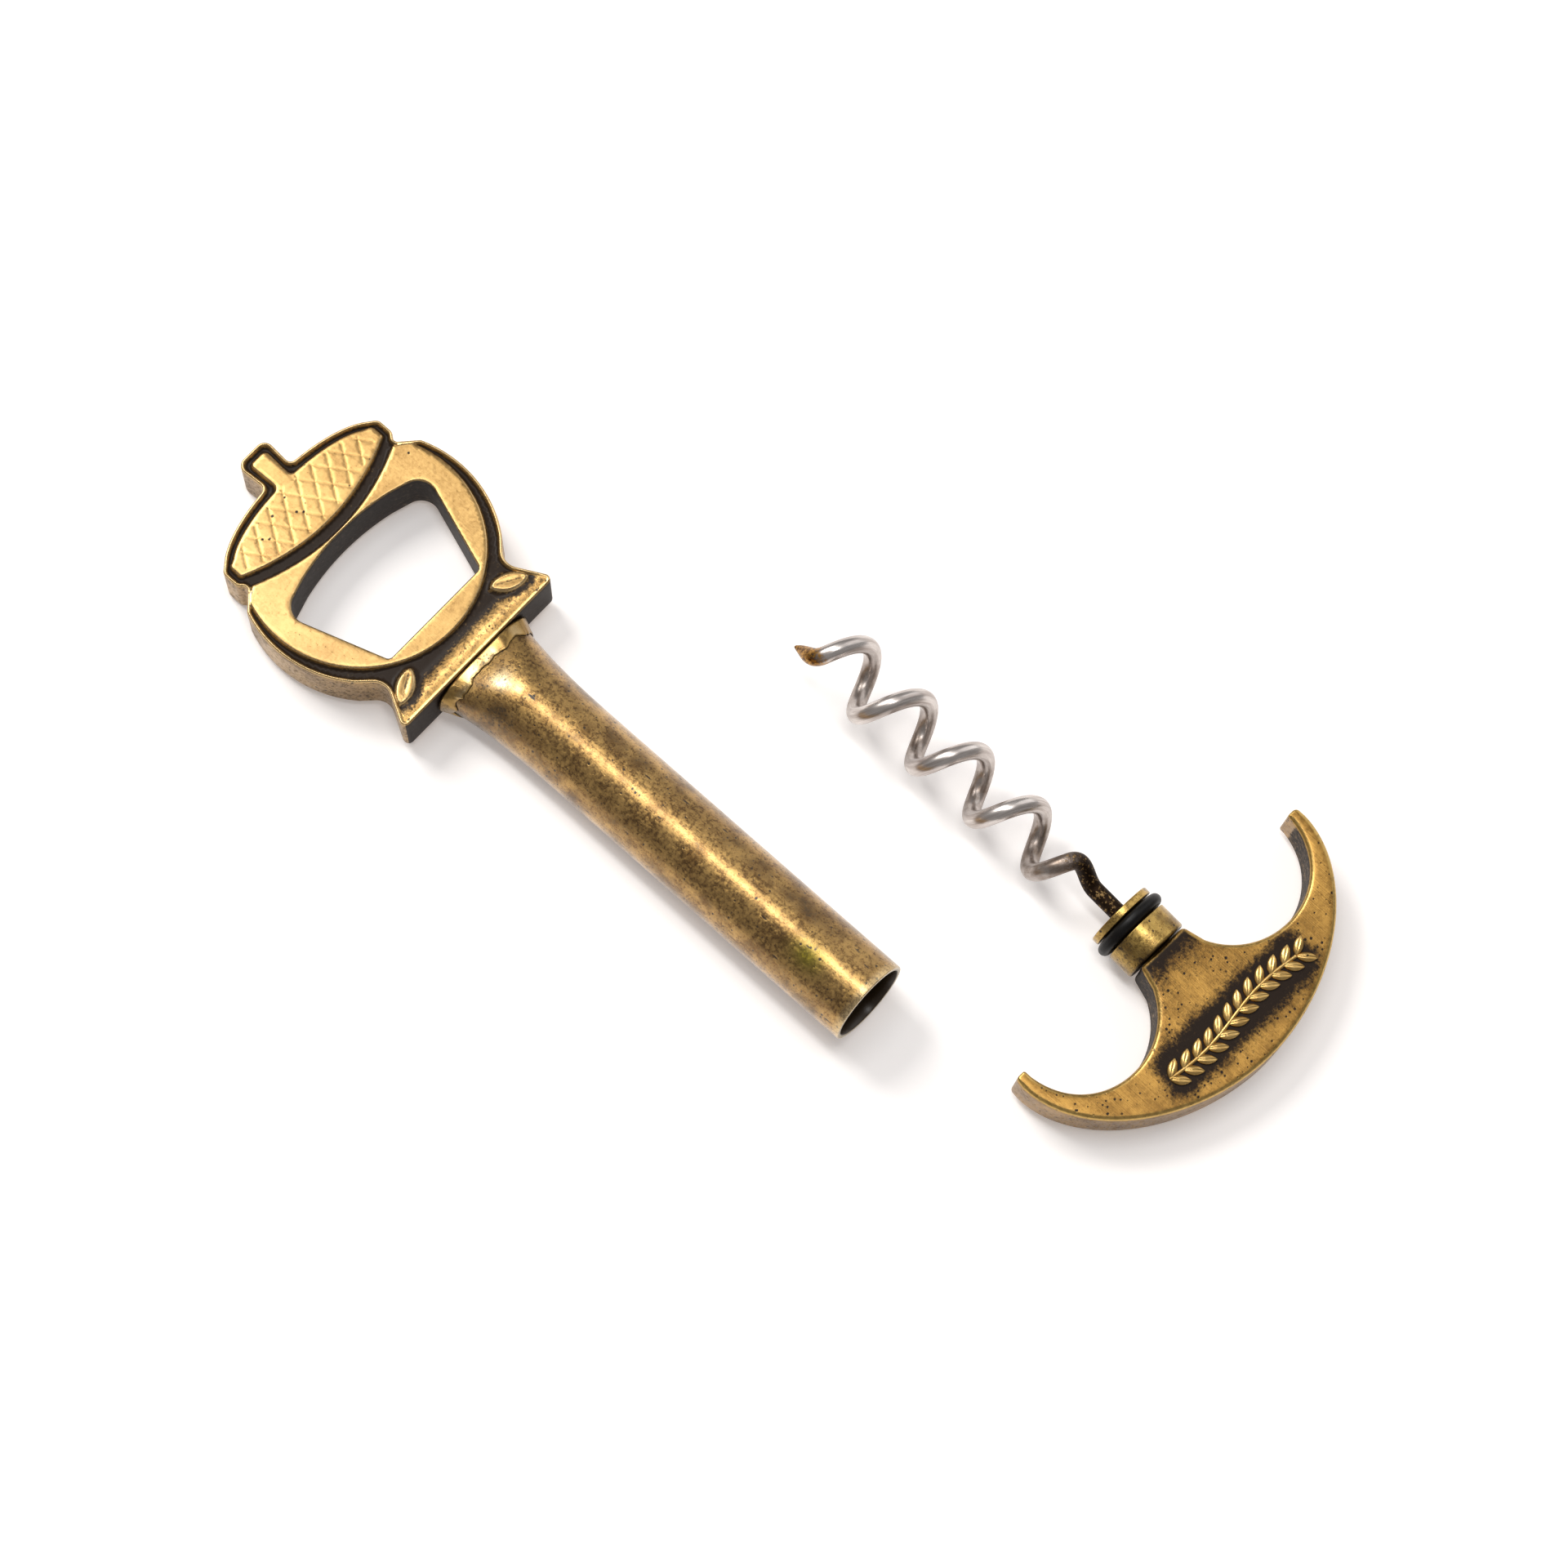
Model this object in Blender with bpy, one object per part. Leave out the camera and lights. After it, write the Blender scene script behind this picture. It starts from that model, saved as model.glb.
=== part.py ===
"""Cork puller in two halves: a corkscrew, and the sheath it is kept in, whose head opens crown caps.

Both halves lie on a table, side by side. Each is modelled about its own axis, which runs along +X,
and a parent empty leans it and sets it down on the floor plane, z = 0.
"""
import math

import bmesh
import bpy
from mathutils import Vector

MM = 0.001

# Clearances
GAP = 0.3 * MM                # between pieces that touch or are soldered
OVERRUN = 2.0 * MM            # how far a cutter passes the face that it cuts

# Sheath tube, from its mouth at x = 0 back to the head
SHEATH_LENGTH = 85.7 * MM
TUBE_DIA = 15.2 * MM
TUBE_WALL = 0.85 * MM
SPREAD_LENGTH = 26.0 * MM     # the stretch over which it widens towards the head
SPREAD_POWER = 3.0
PRESSED_LENGTH = 10.5 * MM    # the stretch that is pressed flat
PRESSED_WIDTH = 18.8 * MM
PRESSED_HEIGHT = 8.2 * MM
PRESS_POWER = 1.3             # how suddenly the flat sets in
SECTION_POWER = 2.9           # the pressed section is a superellipse of this power

# Braze bead round the joint of tube and head
BEAD_HEIGHT = 0.6 * MM
BEAD_WIDTH = 2.6 * MM
BEAD_LUMP_SHARES = ((2, 0.16, 0.6), (5, 0.20, 2.1), (9, 0.12, 4.0))   # waves, share, phase

# Opener head: a flat casting in the form of an acorn, its cup at the far end
HEAD_THICK = 9.6 * MM
HEAD_EDGE = 0.4 * MM
RING_RADIUS = 22.0 * MM
RING_TO_BASE = 24.9 * MM      # from the ring's centre to the straight edge that carries the tube
RING_END = 111.0              # degrees, where the ring's arc turns in to the notch
BASE_HALF = 18.1 * MM
BASE_FILLET = 1.0 * MM
WAIST_ANGLE = 39.0            # degrees, where the ring's arc meets the flared base
WAIST_EASE = 13.0             # degrees
WAIST_FILLET = 3.0 * MM
NOTCH_ANGLE = 122.6           # degrees
NOTCH_DEPTH = 1.6 * MM
NOTCH_FILLET = 1.0 * MM
CUP_STEP = 1.3 * MM           # from the notch to the cup's rim
CUP_OVERHANG = 1.2 * MM
CUP_RIM = 3.2 * MM
CUP_RISE = 7.0 * MM
CUP_FILLET = 1.5 * MM
STEM_LENGTH = 6.2 * MM
STEM_HALF = 3.4 * MM
STEM_FILLET = 1.7 * MM
STEM_ROOT_FILLET = 1.6 * MM
STEM_ROOT_SHARE = 0.88        # of the stem's width, where it grows from the cup
DOME_SHARE = 0.92             # of the cup's half width, up to where its dome is round

# Opening that takes the crown cap
LIP_TO_BASE = 10.0 * MM
LIP_HALF = 10.65 * MM
LIP_FILLET = 1.0 * MM
LIP_TOOTH = 0.5 * MM          # the lower half of the lip stands proud by this
OPENING_DEPTH = 21.3 * MM
OPENING_HALF = 16.7 * MM
OPENING_FILLET = 4.9 * MM
OPENING_CROWN = 3.2 * MM      # rise of the far edge's arc at its middle
ARC_SHARES = (0.0, 0.2, 0.4, 0.6)   # of the half width, where the far edge's arc has its points

# Relief on the head's face
RELIEF = 0.9 * MM
BORDER = 0.25 * MM
FACE_MARGIN = 1.5 * MM        # from the outline to the raised faces
RING_FACE_SHIFT = 1.4 * MM
FACE_FILLET = 1.0 * MM
CHANNEL = 2.1 * MM            # the sunk channel between the ring's face and the cup's
CHANNEL_SAG = 3.8 * MM
CHANNEL_SHARE = 0.97          # of the notch's half width, where the channel ends
BRIDGE = 0.5 * MM             # raised strip left between the opening and the channel
ROOT_SHARE = 0.25             # of the relief, by which a raised face is rooted in the ground
LEAF_LENGTH = 6.4 * MM
LEAF_WIDTH = 3.0 * MM
LEAF_INSET = 5.8 * MM
LEAF_TO_BASE = 5.0 * MM
LEAF_ANGLE = 62.0             # degrees, from the sheath's axis

# Plug, O-ring and the neck they lead to, from the plug's front disc at x = 0
PLUG_DIA = 12.0 * MM
DISC_THICK = 1.3 * MM
GROOVE_WIDTH = 2.7 * MM
PLUG_BODY = 4.8 * MM
PLUG_CHAMFER = 0.5 * MM
PLUG_FRONT_EDGE = 0.3 * MM
RING_SECTION = 2.1 * MM
O_RING_DIA = 13.6 * MM
SPIGOT_DIA = 6.0 * MM
SPIGOT_LENGTH = 7.0 * MM

# Handle, an anchor's arms cast in one with its neck
HANDLE_THICK = 9.6 * MM
HANDLE_EDGE = 0.8 * MM
NECK_HALF = 4.9 * MM
NECK_FILLET = 1.0 * MM
NECK_SWELL = 0.3 * MM
NECK_EASE = 9.0               # degrees of the finger arc that the neck's side takes up
ARM_REACH = 33.9 * MM         # from the plug's disc to the outer edge's middle
ARM_HALF = 32.6 * MM
ARM_BACK = 9.9 * MM           # where the arms are widest
ARM_POWER = 1.88              # the outer edge is a superellipse of this power
FINGER_RADIUS = 13.2 * MM
FINGER_X = 7.2 * MM
FINGER_Y = 17.8 * MM
HORN_X = 8.0 * MM
HORN_FILLET = 0.9 * MM
HORN_TAPER = 0.2 * MM
HORN_SWELL = 0.55 * MM        # by which the finger arc closes in towards the horn's tip
SWELL_POWER = 4.0
HORN_EDGE_SHARE = 0.22        # of the horn's width, at most, that one rounded edge takes

# Worm, wound left-handed from steel wire; it is bent a little aside
WIRE_DIA = 3.0 * MM
WORM_PITCH = 12.735 * MM
WORM_FIRST_TURN = -0.075      # turns, counted from the top of the first crest
WORM_LAST_TURN = 3.995
WORM_TO_DISC = 11.2 * MM      # from the end of the winding to the plug's disc
COIL_RADIUS = 4.25 * MM       # of the wire's middle, at the plug's end
COIL_FLARE = 0.6 * MM         # by which the first turn is wider
WORM_ASIDE = 0.22 * MM
WORM_LEAN = 2.55              # degrees
WORM_DROOP = 0.45             # degrees
SHANK_STRAIGHT = 5.2 * MM
SHANK_SWING = 3.2 * MM        # handle of the bend that leaves the coil
SHANK_EASE = 2.7 * MM         # handle of the bend that meets the shank
TIP_REACH = 5.0 * MM
TIP_ASIDE = 1.5 * MM
TIP_DROP = 4.3 * MM
TIP_EASE = 2.6 * MM           # handle of the bend at the sharp end
TIP_BACK = (0.9, 0.3, 0.3)    # direction from the point back along the wire
TIP_LENGTH = 5.2 * MM         # ground taper
TIP_FLAT = 0.3 * MM           # diameter left at the point
TIP_POWER = 0.75
SHANK_INSET = 5.6 * MM        # length of shank held in the plug

# Layout on the table
CORKSCREW_ALONG = 18.9 * MM   # from the sheath's mouth to the plug's disc
CORKSCREW_ASIDE = 39.5 * MM
CORKSCREW_YAW = -2.8          # degrees

# Fineness
ROUND_SIDES = 48
WIRE_SIDES = 12
O_RING_STEPS = 12
COIL_STEPS = 24               # points in a turn
BEND_STEPS = 10
FILLET_STEP = 18.0            # degrees
PRESS_STEPS = 13
ARC_STEP = 6.0                # degrees
DOME_STEPS = 5
LEAF_STEPS = 16
FINGER_STEPS = 20
ARM_STEPS = 26
EDGE_STEPS = 2
BEAD_SIDES = 8


def clear_scene():
    for item in list(bpy.data.objects):
        bpy.data.objects.remove(item, do_unlink=True)


def material(name, colour, metallic, roughness):
    mat = bpy.data.materials.new(name)
    mat.use_nodes = True
    shader = mat.node_tree.nodes["Principled BSDF"]
    shader.inputs["Base Color"].default_value = (*colour, 1.0)
    shader.inputs["Metallic"].default_value = metallic
    shader.inputs["Roughness"].default_value = roughness
    return mat


def make_object(name, bm, mat=None, parent=None):
    mesh = bpy.data.meshes.new(name)
    bmesh.ops.recalc_face_normals(bm, faces=bm.faces)
    bm.to_mesh(mesh)
    bm.free()
    item = bpy.data.objects.new(name, mesh)
    bpy.context.scene.collection.objects.link(item)
    if mat:
        mesh.materials.append(mat)
    item.parent = parent
    return item


def smooth(item, degrees=35.0):
    item.data.shade_smooth()
    item.data.set_sharp_from_angle(angle=math.radians(degrees))


# Outlines


def mirrored(half):
    """Close a half outline, given from -X to +X on its +Y side, anticlockwise."""
    other = [(x, -y, r) for x, y, r in half]
    return other + half[::-1]


def line_meet(p, u, q, v):
    cross = u.x * v.y - u.y * v.x
    t = ((q.x - p.x) * v.y - (q.y - p.y) * v.x) / cross
    return p + u * t


def inset_corners(corners, depth):
    """Move every side of an anticlockwise outline inwards, and fit the fillets to it."""
    points = [Vector((x, y)) for x, y, r in corners]
    count = len(points)
    out = []
    for i, (x, y, r) in enumerate(corners):
        before = (points[i] - points[i - 1]).normalized()
        after = (points[(i + 1) % count] - points[i]).normalized()
        turn = before.x * after.y - before.y * after.x
        in_before = Vector((-before.y, before.x)) * depth
        in_after = Vector((-after.y, after.x)) * depth
        if abs(turn) < math.sin(math.radians(0.5)):
            place = points[i] + in_before
        else:
            place = line_meet(points[i] + in_before, before, points[i] + in_after, after)
        if r:
            r = max(r - depth, depth / 4) if turn > 0 else r + depth
        out.append((place.x, place.y, r))
    return out


def filleted(corners, depth=0.0):
    """Points of an outline whose corners (x, y, fillet radius) are rounded off."""
    if depth:
        corners = inset_corners(corners, depth)
    points = [Vector((x, y)) for x, y, r in corners]
    count = len(points)
    out = []
    for i, (x, y, r) in enumerate(corners):
        here = points[i]
        if not r:
            out.append(here)
            continue
        to_last = points[i - 1] - here
        to_next = points[(i + 1) % count] - here
        half = to_last.angle(to_next) / 2
        reach = r / math.tan(half)
        room = 0.48 * min(to_last.length, to_next.length)
        if reach > room:
            reach, r = room, room * math.tan(half)
        start = here + to_last.normalized() * reach
        end = here + to_next.normalized() * reach
        middle = here + (to_last.normalized() + to_next.normalized()).normalized() * r / math.sin(half)
        turn = math.pi - 2 * half
        steps = max(2, round(math.degrees(turn) / FILLET_STEP))
        a0 = math.atan2(start.y - middle.y, start.x - middle.x)
        a1 = math.atan2(end.y - middle.y, end.x - middle.x)
        sweep = (a1 - a0 + math.pi) % (2 * math.pi) - math.pi
        for k in range(steps + 1):
            a = a0 + sweep * k / steps
            out.append(middle + r * Vector((math.cos(a), math.sin(a))))
    return out


def arc_points(centre_x, radius, start, end):
    """Corners without a fillet on a circle round (centre_x, 0); angles in degrees."""
    count = max(1, round(abs(end - start) / ARC_STEP))
    angles = [math.radians(start + (end - start) * k / count) for k in range(count + 1)]
    return [(centre_x + radius * math.cos(a), radius * math.sin(a), 0.0) for a in angles]


def plate(name, points, low, high, mat=None, parent=None):
    """A flat slab of the given outline between two heights."""
    bm = bmesh.new()
    lower = [bm.verts.new((p[0], p[1], low)) for p in points]
    upper = [bm.verts.new((p[0], p[1], high)) for p in points]
    bm.faces.new(lower[::-1])
    bm.faces.new(upper)
    for i, vert in enumerate(lower):
        bm.faces.new((lower[i - 1], vert, upper[i], upper[i - 1]))
    return make_object(name, bm, mat, parent)


def inwards(points):
    """Unit vectors into an anticlockwise outline at its points, lengthened to keep its sides parallel."""
    out = []
    for i, here in enumerate(points):
        before = (here - points[i - 1]).normalized()
        after = (points[(i + 1) % len(points)] - here).normalized()
        along = (before + after).normalized()
        out.append(Vector((-along.y, along.x)) / along.dot(after))
    return out


def cast_plate(name, points, thick, edge, mat, parent):
    """A flat slab whose upper and lower edges are rounded by edge(point)."""
    bm = bmesh.new()
    normals = inwards(points)
    loops = []
    angles = [math.pi / 2 * k / EDGE_STEPS for k in range(EDGE_STEPS + 1)]
    for side, turns in ((-1, angles), (1, angles[::-1])):
        for a in turns:
            loop = []
            for p, n in zip(points, normals):
                size = edge(p)
                place = p + n * size * (1 - math.sin(a))
                loop.append((place.x, place.y, side * (thick / 2 - size * (1 - math.cos(a)))))
            loops.append(ring_of(bm, loop))
    for first, second in zip(loops, loops[1:]):
        bridge(bm, first, second)
    bm.faces.new(loops[0][::-1])
    bm.faces.new(loops[-1])
    return make_object(name, bm, mat, parent)


def combine(item, other, operation):
    other.hide_render = True
    other.display_type = 'WIRE'
    other.parent = item.parent
    other.location = item.location
    mod = item.modifiers.new(other.name, "BOOLEAN")
    mod.operation = operation
    mod.object = other
    mod.solver = 'EXACT'
    return mod


def round_angles(count):
    return [2 * math.pi * k / count for k in range(count)]


def ring_of(bm, points):
    return [bm.verts.new(p) for p in points]


def bridge(bm, first, second, closed=True):
    count = len(first)
    for i in range(count if closed else count - 1):
        j = (i + 1) % count
        bm.faces.new((first[i], first[j], second[j], second[i]))


def turned(name, profile, mat, parent):
    """Spin a closed profile of (x, radius) round the X axis; radius zero lies on the axis."""
    bm = bmesh.new()
    rings = []
    for x, radius in profile:
        if radius == 0:
            rings.append([bm.verts.new((x, 0, 0))])
            continue
        places = [(x, radius * math.cos(a), radius * math.sin(a)) for a in round_angles(ROUND_SIDES)]
        rings.append(ring_of(bm, places))
    for i, ring in enumerate(rings):
        last = rings[i - 1]
        if len(last) == 1 and len(ring) == 1:
            continue
        if len(last) == 1 or len(ring) == 1:
            point, loop = (last[0], ring) if len(last) == 1 else (ring[0], last)
            for k in range(ROUND_SIDES):
                bm.faces.new((point, loop[k - 1], loop[k]))
        else:
            bridge(bm, last, ring)
    item = make_object(name, bm, mat, parent)
    smooth(item)
    return item


# Opener half


def tube_section(x):
    """Half width, half height and superellipse power of the tube's outside at x."""
    left = x + SHEATH_LENGTH
    spread = max(0.0, 1 - left / SPREAD_LENGTH) ** SPREAD_POWER
    pressed = max(0.0, 1 - left / PRESSED_LENGTH) ** PRESS_POWER
    radius = TUBE_DIA / 2
    return (radius + (PRESSED_WIDTH / 2 - radius) * spread,
            radius + (PRESSED_HEIGHT / 2 - radius) * pressed,
            2 + (SECTION_POWER - 2) * pressed)


def signed_power(value, power):
    return math.copysign(abs(value) ** power, value)


def on_tube(x, angle, out):
    """A point at a distance out from the tube's outside."""
    wide, high, power = tube_section(x)
    y = wide * signed_power(math.cos(angle), 2 / power)
    z = high * signed_power(math.sin(angle), 2 / power)
    across = Vector((signed_power(y / wide, power - 1) / wide, signed_power(z / high, power - 1) / high))
    across.normalize()
    return (x, y + out * across.x, z + out * across.y)


def build_tube(mat, parent):
    end = GAP - SHEATH_LENGTH
    span = SPREAD_LENGTH - GAP
    stations = [end + span * (k / PRESS_STEPS) ** 1.5 for k in range(PRESS_STEPS + 1)] + [0.0]
    angles = round_angles(ROUND_SIDES)
    bm = bmesh.new()
    outer = [ring_of(bm, [on_tube(x, a, 0.0) for a in angles]) for x in stations]
    inner = [ring_of(bm, [on_tube(x, a, -TUBE_WALL) for a in angles]) for x in stations]
    loops = outer + inner[::-1]
    for i, loop in enumerate(loops):
        bridge(bm, loops[i - 1], loop)
    item = make_object("sheath_tube", bm, mat, parent)
    smooth(item)
    return item


def build_bead(mat, parent):
    """A lumpy fillet of brazing metal round the tube where it meets the head."""
    bm = bmesh.new()
    loops = []
    start = -SHEATH_LENGTH + GAP
    for angle in round_angles(ROUND_SIDES):
        lump = 1 + sum(share * math.sin(waves * angle + phase) for waves, share, phase in BEAD_LUMP_SHARES)
        height, width = BEAD_HEIGHT * lump, BEAD_WIDTH * (lump + 1) / 2
        profile = [on_tube(start + width, angle, GAP), on_tube(start, angle, GAP)]
        for j in range(BEAD_SIDES - 2):
            a = math.pi / 2 * j / (BEAD_SIDES - 2)
            profile.append(on_tube(start + width * math.sin(a), angle, GAP + height * math.cos(a)))
        loops.append(ring_of(bm, profile))
    for k, loop in enumerate(loops):
        bridge(bm, loops[k - 1], loop)
    item = make_object("braze_bead", bm, mat, parent)
    smooth(item, 60.0)
    return item


def on_ring(radius, degrees):
    """A place on a circle round the ring's centre; x = 0 at the base's edge, -X towards the stem."""
    angle = math.radians(degrees)
    return (radius * math.cos(angle) - RING_TO_BASE, radius * math.sin(angle))


def cup_places():
    """Where the cup's rim starts, and its half width."""
    notch = on_ring(RING_RADIUS - NOTCH_DEPTH, NOTCH_ANGLE)
    return notch[0] - CUP_STEP, notch[1] + CUP_OVERHANG


def cup_dome(half, rise, inner):
    """Points of the cup's dome from its stem, at the half width inner, out to its shoulder."""
    start = cup_places()[0] - CUP_RIM / 2
    points = []
    for k in range(DOME_STEPS + 1):
        y = inner + (half * DOME_SHARE - inner) * k / DOME_STEPS
        points.append((start - rise * math.sqrt(1 - (y / half) ** 2), y, 0.0))
    return points


def head_corners():
    cup_x, cup_y = cup_places()
    crown = cup_x - CUP_RIM / 2 - CUP_RISE
    half = [(crown - STEM_LENGTH, STEM_HALF, STEM_FILLET),
            (crown, STEM_HALF * STEM_ROOT_SHARE, STEM_ROOT_FILLET)]
    half += cup_dome(cup_y, CUP_RISE, STEM_HALF + STEM_ROOT_FILLET)
    half += [(cup_x - CUP_RIM, cup_y, CUP_FILLET), (cup_x, cup_y, CUP_FILLET),
             (*on_ring(RING_RADIUS - NOTCH_DEPTH, NOTCH_ANGLE), NOTCH_FILLET)]
    half += arc_points(-RING_TO_BASE, RING_RADIUS, RING_END, WAIST_ANGLE + WAIST_EASE)
    half += [(*on_ring(RING_RADIUS, WAIST_ANGLE), WAIST_FILLET), (0.0, BASE_HALF, BASE_FILLET)]
    return mirrored(half)


def opening_corners():
    far = -LIP_TO_BASE - OPENING_DEPTH
    half = [(far + OPENING_CROWN * share ** 2, OPENING_HALF * share, 0.0) for share in ARC_SHARES]
    half += [(far + OPENING_CROWN, OPENING_HALF, OPENING_FILLET), (-LIP_TO_BASE, LIP_HALF, LIP_FILLET)]
    return mirrored(half[1:]) + [half[0]]


def channel_corners(at_middle, half, count, fillet):
    """Half of the arc that the sunk channel follows across the head, from the middle outwards."""
    full = on_ring(RING_RADIUS - NOTCH_DEPTH, NOTCH_ANGLE)[1] * CHANNEL_SHARE
    points = []
    for k in range(count + 1):
        y = half * k / count
        points.append((at_middle - CHANNEL_SAG * (y / full) ** 2, y, fillet if k == count else 0.0))
    return points


def ring_face_corners():
    """The raised face round the opening, cut off by the channel."""
    middle = -LIP_TO_BASE - OPENING_DEPTH - BRIDGE
    centre = -RING_TO_BASE - RING_FACE_SHIFT
    radius = RING_RADIUS - FACE_MARGIN
    full = on_ring(RING_RADIUS - NOTCH_DEPTH, NOTCH_ANGLE)[1] * CHANNEL_SHARE
    upper = channel_corners(middle, full, 5, FACE_FILLET / 2)
    turn = math.degrees(math.acos((upper[-1][0] - centre) / radius))
    rim = arc_points(centre, radius, turn - ARC_STEP, 0.0)
    half = upper[1:] + rim[:-1]
    return [rim[-1]] + mirrored(half)[len(half):] + [upper[0]] + mirrored(half)[:len(half)]


def cup_face_corners():
    """The raised face of the cup and its stem."""
    cup_x, cup_y = cup_places()
    middle = -LIP_TO_BASE - OPENING_DEPTH - BRIDGE - CHANNEL
    wide, rise = cup_y - FACE_MARGIN, CUP_RISE - FACE_MARGIN
    crown = cup_x - CUP_RIM / 2 - rise
    stem = STEM_HALF - FACE_MARGIN
    half = [(crown - STEM_LENGTH, stem, STEM_FILLET - FACE_MARGIN / 2),
            (crown, stem * STEM_ROOT_SHARE, STEM_ROOT_FILLET)]
    half += cup_dome(wide, rise, stem + STEM_ROOT_FILLET)
    lower = channel_corners(middle, wide, 5, FACE_FILLET)
    half += [(cup_x - CUP_RIM, wide, CUP_FILLET)] + lower[:0:-1]
    return mirrored(half)[:len(half)] + [lower[0]] + half[::-1]


def leaf_points(side):
    """A small pointed leaf on the base, leaning outwards."""
    angle = math.radians(LEAF_ANGLE) * side
    along = Vector((math.cos(angle), math.sin(angle)))
    across = Vector((-along.y, along.x))
    centre = Vector((-LEAF_TO_BASE, (BASE_HALF - LEAF_INSET) * side))
    rim = []
    for k in range(LEAF_STEPS):
        t = 2 * math.pi * k / LEAF_STEPS
        rim.append(centre + along * math.cos(t) * LEAF_LENGTH / 2
                   + across * signed_power(math.sin(t), 1.5) * LEAF_WIDTH / 2)
    return rim


def build_head(mat, parent):
    top = HEAD_THICK / 2
    ground = top - RELIEF
    root = ground - RELIEF * ROOT_SHARE
    outline = head_corners()
    head = cast_plate("opener_head", filleted(outline), HEAD_THICK, lambda p: HEAD_EDGE, mat, parent)
    head.location = (-SHEATH_LENGTH, 0.0, 0.0)
    pocket = plate("ground_cutter", filleted(outline, BORDER + HEAD_EDGE), ground, top + OVERRUN)
    combine(head, pocket, 'DIFFERENCE')
    combine(head, plate("ring_face", filleted(ring_face_corners()), root, top), 'UNION')
    combine(head, plate("cup_face", filleted(cup_face_corners()), root, top), 'UNION')
    for side, word in ((1, "right"), (-1, "left")):
        combine(head, plate("leaf_" + word, leaf_points(side), root, top - RELIEF * ROOT_SHARE), 'UNION')
    opening = opening_corners()
    combine(head, plate("opening_cutter", filleted(opening), -top - OVERRUN, top + OVERRUN), 'DIFFERENCE')
    half = LIP_HALF - LIP_FILLET
    tooth = [(LIP_TOOTH - LIP_TO_BASE, half), (-LIP_TOOTH - LIP_TO_BASE, half - LIP_TOOTH),
             (-LIP_TOOTH - LIP_TO_BASE, LIP_TOOTH - half), (LIP_TOOTH - LIP_TO_BASE, -half)]
    combine(head, plate("lip_tooth", tooth, HEAD_EDGE - top, -HEAD_EDGE), 'UNION')
    smooth(head)
    return head


# Corkscrew half


def plug_length():
    return DISC_THICK + GROOVE_WIDTH + PLUG_BODY


def build_plug(mat, parent):
    radius = PLUG_DIA / 2
    groove = O_RING_DIA / 2 - RING_SECTION - GAP
    bore = WIRE_DIA / 2 + GAP
    edge, cham = PLUG_FRONT_EDGE, PLUG_CHAMFER
    front, rear = DISC_THICK + GROOVE_WIDTH, plug_length()
    spigot, end = SPIGOT_DIA / 2, plug_length() + SPIGOT_LENGTH
    profile = [(SHANK_INSET + GAP, 0.0), (SHANK_INSET + GAP, bore), (0.0, bore), (0.0, radius - edge),
               (edge, radius), (DISC_THICK - edge, radius), (DISC_THICK, radius - edge), (DISC_THICK, groove),
               (front, groove), (front, radius - edge / 2), (front + edge / 2, radius),
               (rear - cham * 2, radius), (rear, radius - cham), (rear, spigot), (end, spigot), (end, 0.0)]
    return turned("plug", profile, mat, parent)


def build_o_ring(mat, parent):
    centre, radius, half = DISC_THICK + GROOVE_WIDTH / 2, (O_RING_DIA - RING_SECTION) / 2, RING_SECTION / 2
    profile = [(centre + half * math.cos(a), radius + half * math.sin(a)) for a in round_angles(O_RING_STEPS)]
    return turned("o_ring", profile, mat, parent)


def horn_sides():
    """How far out the inner and the outer side of a horn's tip lie."""
    inner = FINGER_Y + math.sqrt((FINGER_RADIUS - HORN_SWELL) ** 2 - (HORN_X - FINGER_X) ** 2)
    return inner, ARM_HALF - HORN_TAPER


def handle_corners():
    """The anchor's outline, x = 0 at the plug's disc."""
    start = plug_length() + GAP
    tip_in, tip_out = horn_sides()
    low = -math.degrees(math.asin((FINGER_Y - NECK_HALF - NECK_SWELL) / FINGER_RADIUS))
    high = math.degrees(math.acos((HORN_X + HORN_FILLET - FINGER_X) / FINGER_RADIUS))
    low += NECK_EASE
    finger = []
    for k in range(FINGER_STEPS + 1):
        a = math.radians(low + (high - low) * k / FINGER_STEPS)
        reach = FINGER_RADIUS - HORN_SWELL * max(0.0, math.sin(a)) ** SWELL_POWER
        finger.append((FINGER_X + reach * math.cos(a), FINGER_Y + reach * math.sin(a), 0.0))
    outer = []
    for k in range(ARM_STEPS + 1):
        a = math.pi / 2 * (1 - k / ARM_STEPS)
        x = ARM_BACK + (ARM_REACH - ARM_BACK) * math.cos(a) ** (2 / ARM_POWER)
        outer.append((x, ARM_HALF * math.sin(a) ** (2 / ARM_POWER), 0.0))
    horn = [(HORN_X, tip_in, HORN_FILLET), (HORN_X, tip_out, HORN_FILLET)]
    neck = [(start, NECK_HALF, NECK_FILLET)]
    half = neck + finger + horn + outer[:-1]
    other = [(x, -y, r) for x, y, r in half]
    return other + [outer[-1]] + half[::-1]


def handle_edge(place):
    """How far the handle's edge is rounded; less at the thin tips of the horns."""
    if abs(place.y) < FINGER_Y:
        return HANDLE_EDGE
    tip_in, tip_out = horn_sides()
    return min(HANDLE_EDGE, (tip_out - tip_in + place.x - HORN_X) * HORN_EDGE_SHARE)


def build_handle(mat, parent):
    handle = cast_plate("handle", filleted(handle_corners()), HANDLE_THICK, handle_edge, mat, parent)
    start = plug_length()
    bore = SPIGOT_DIA / 2 + GAP
    front, depth = start - OVERRUN, start + SPIGOT_LENGTH + GAP
    cutter = turned("spigot_cutter", [(front, 0.0), (front, bore), (depth, bore), (depth, 0.0)], None, parent)
    combine(handle, cutter, 'DIFFERENCE')
    smooth(handle)
    return handle


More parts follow.
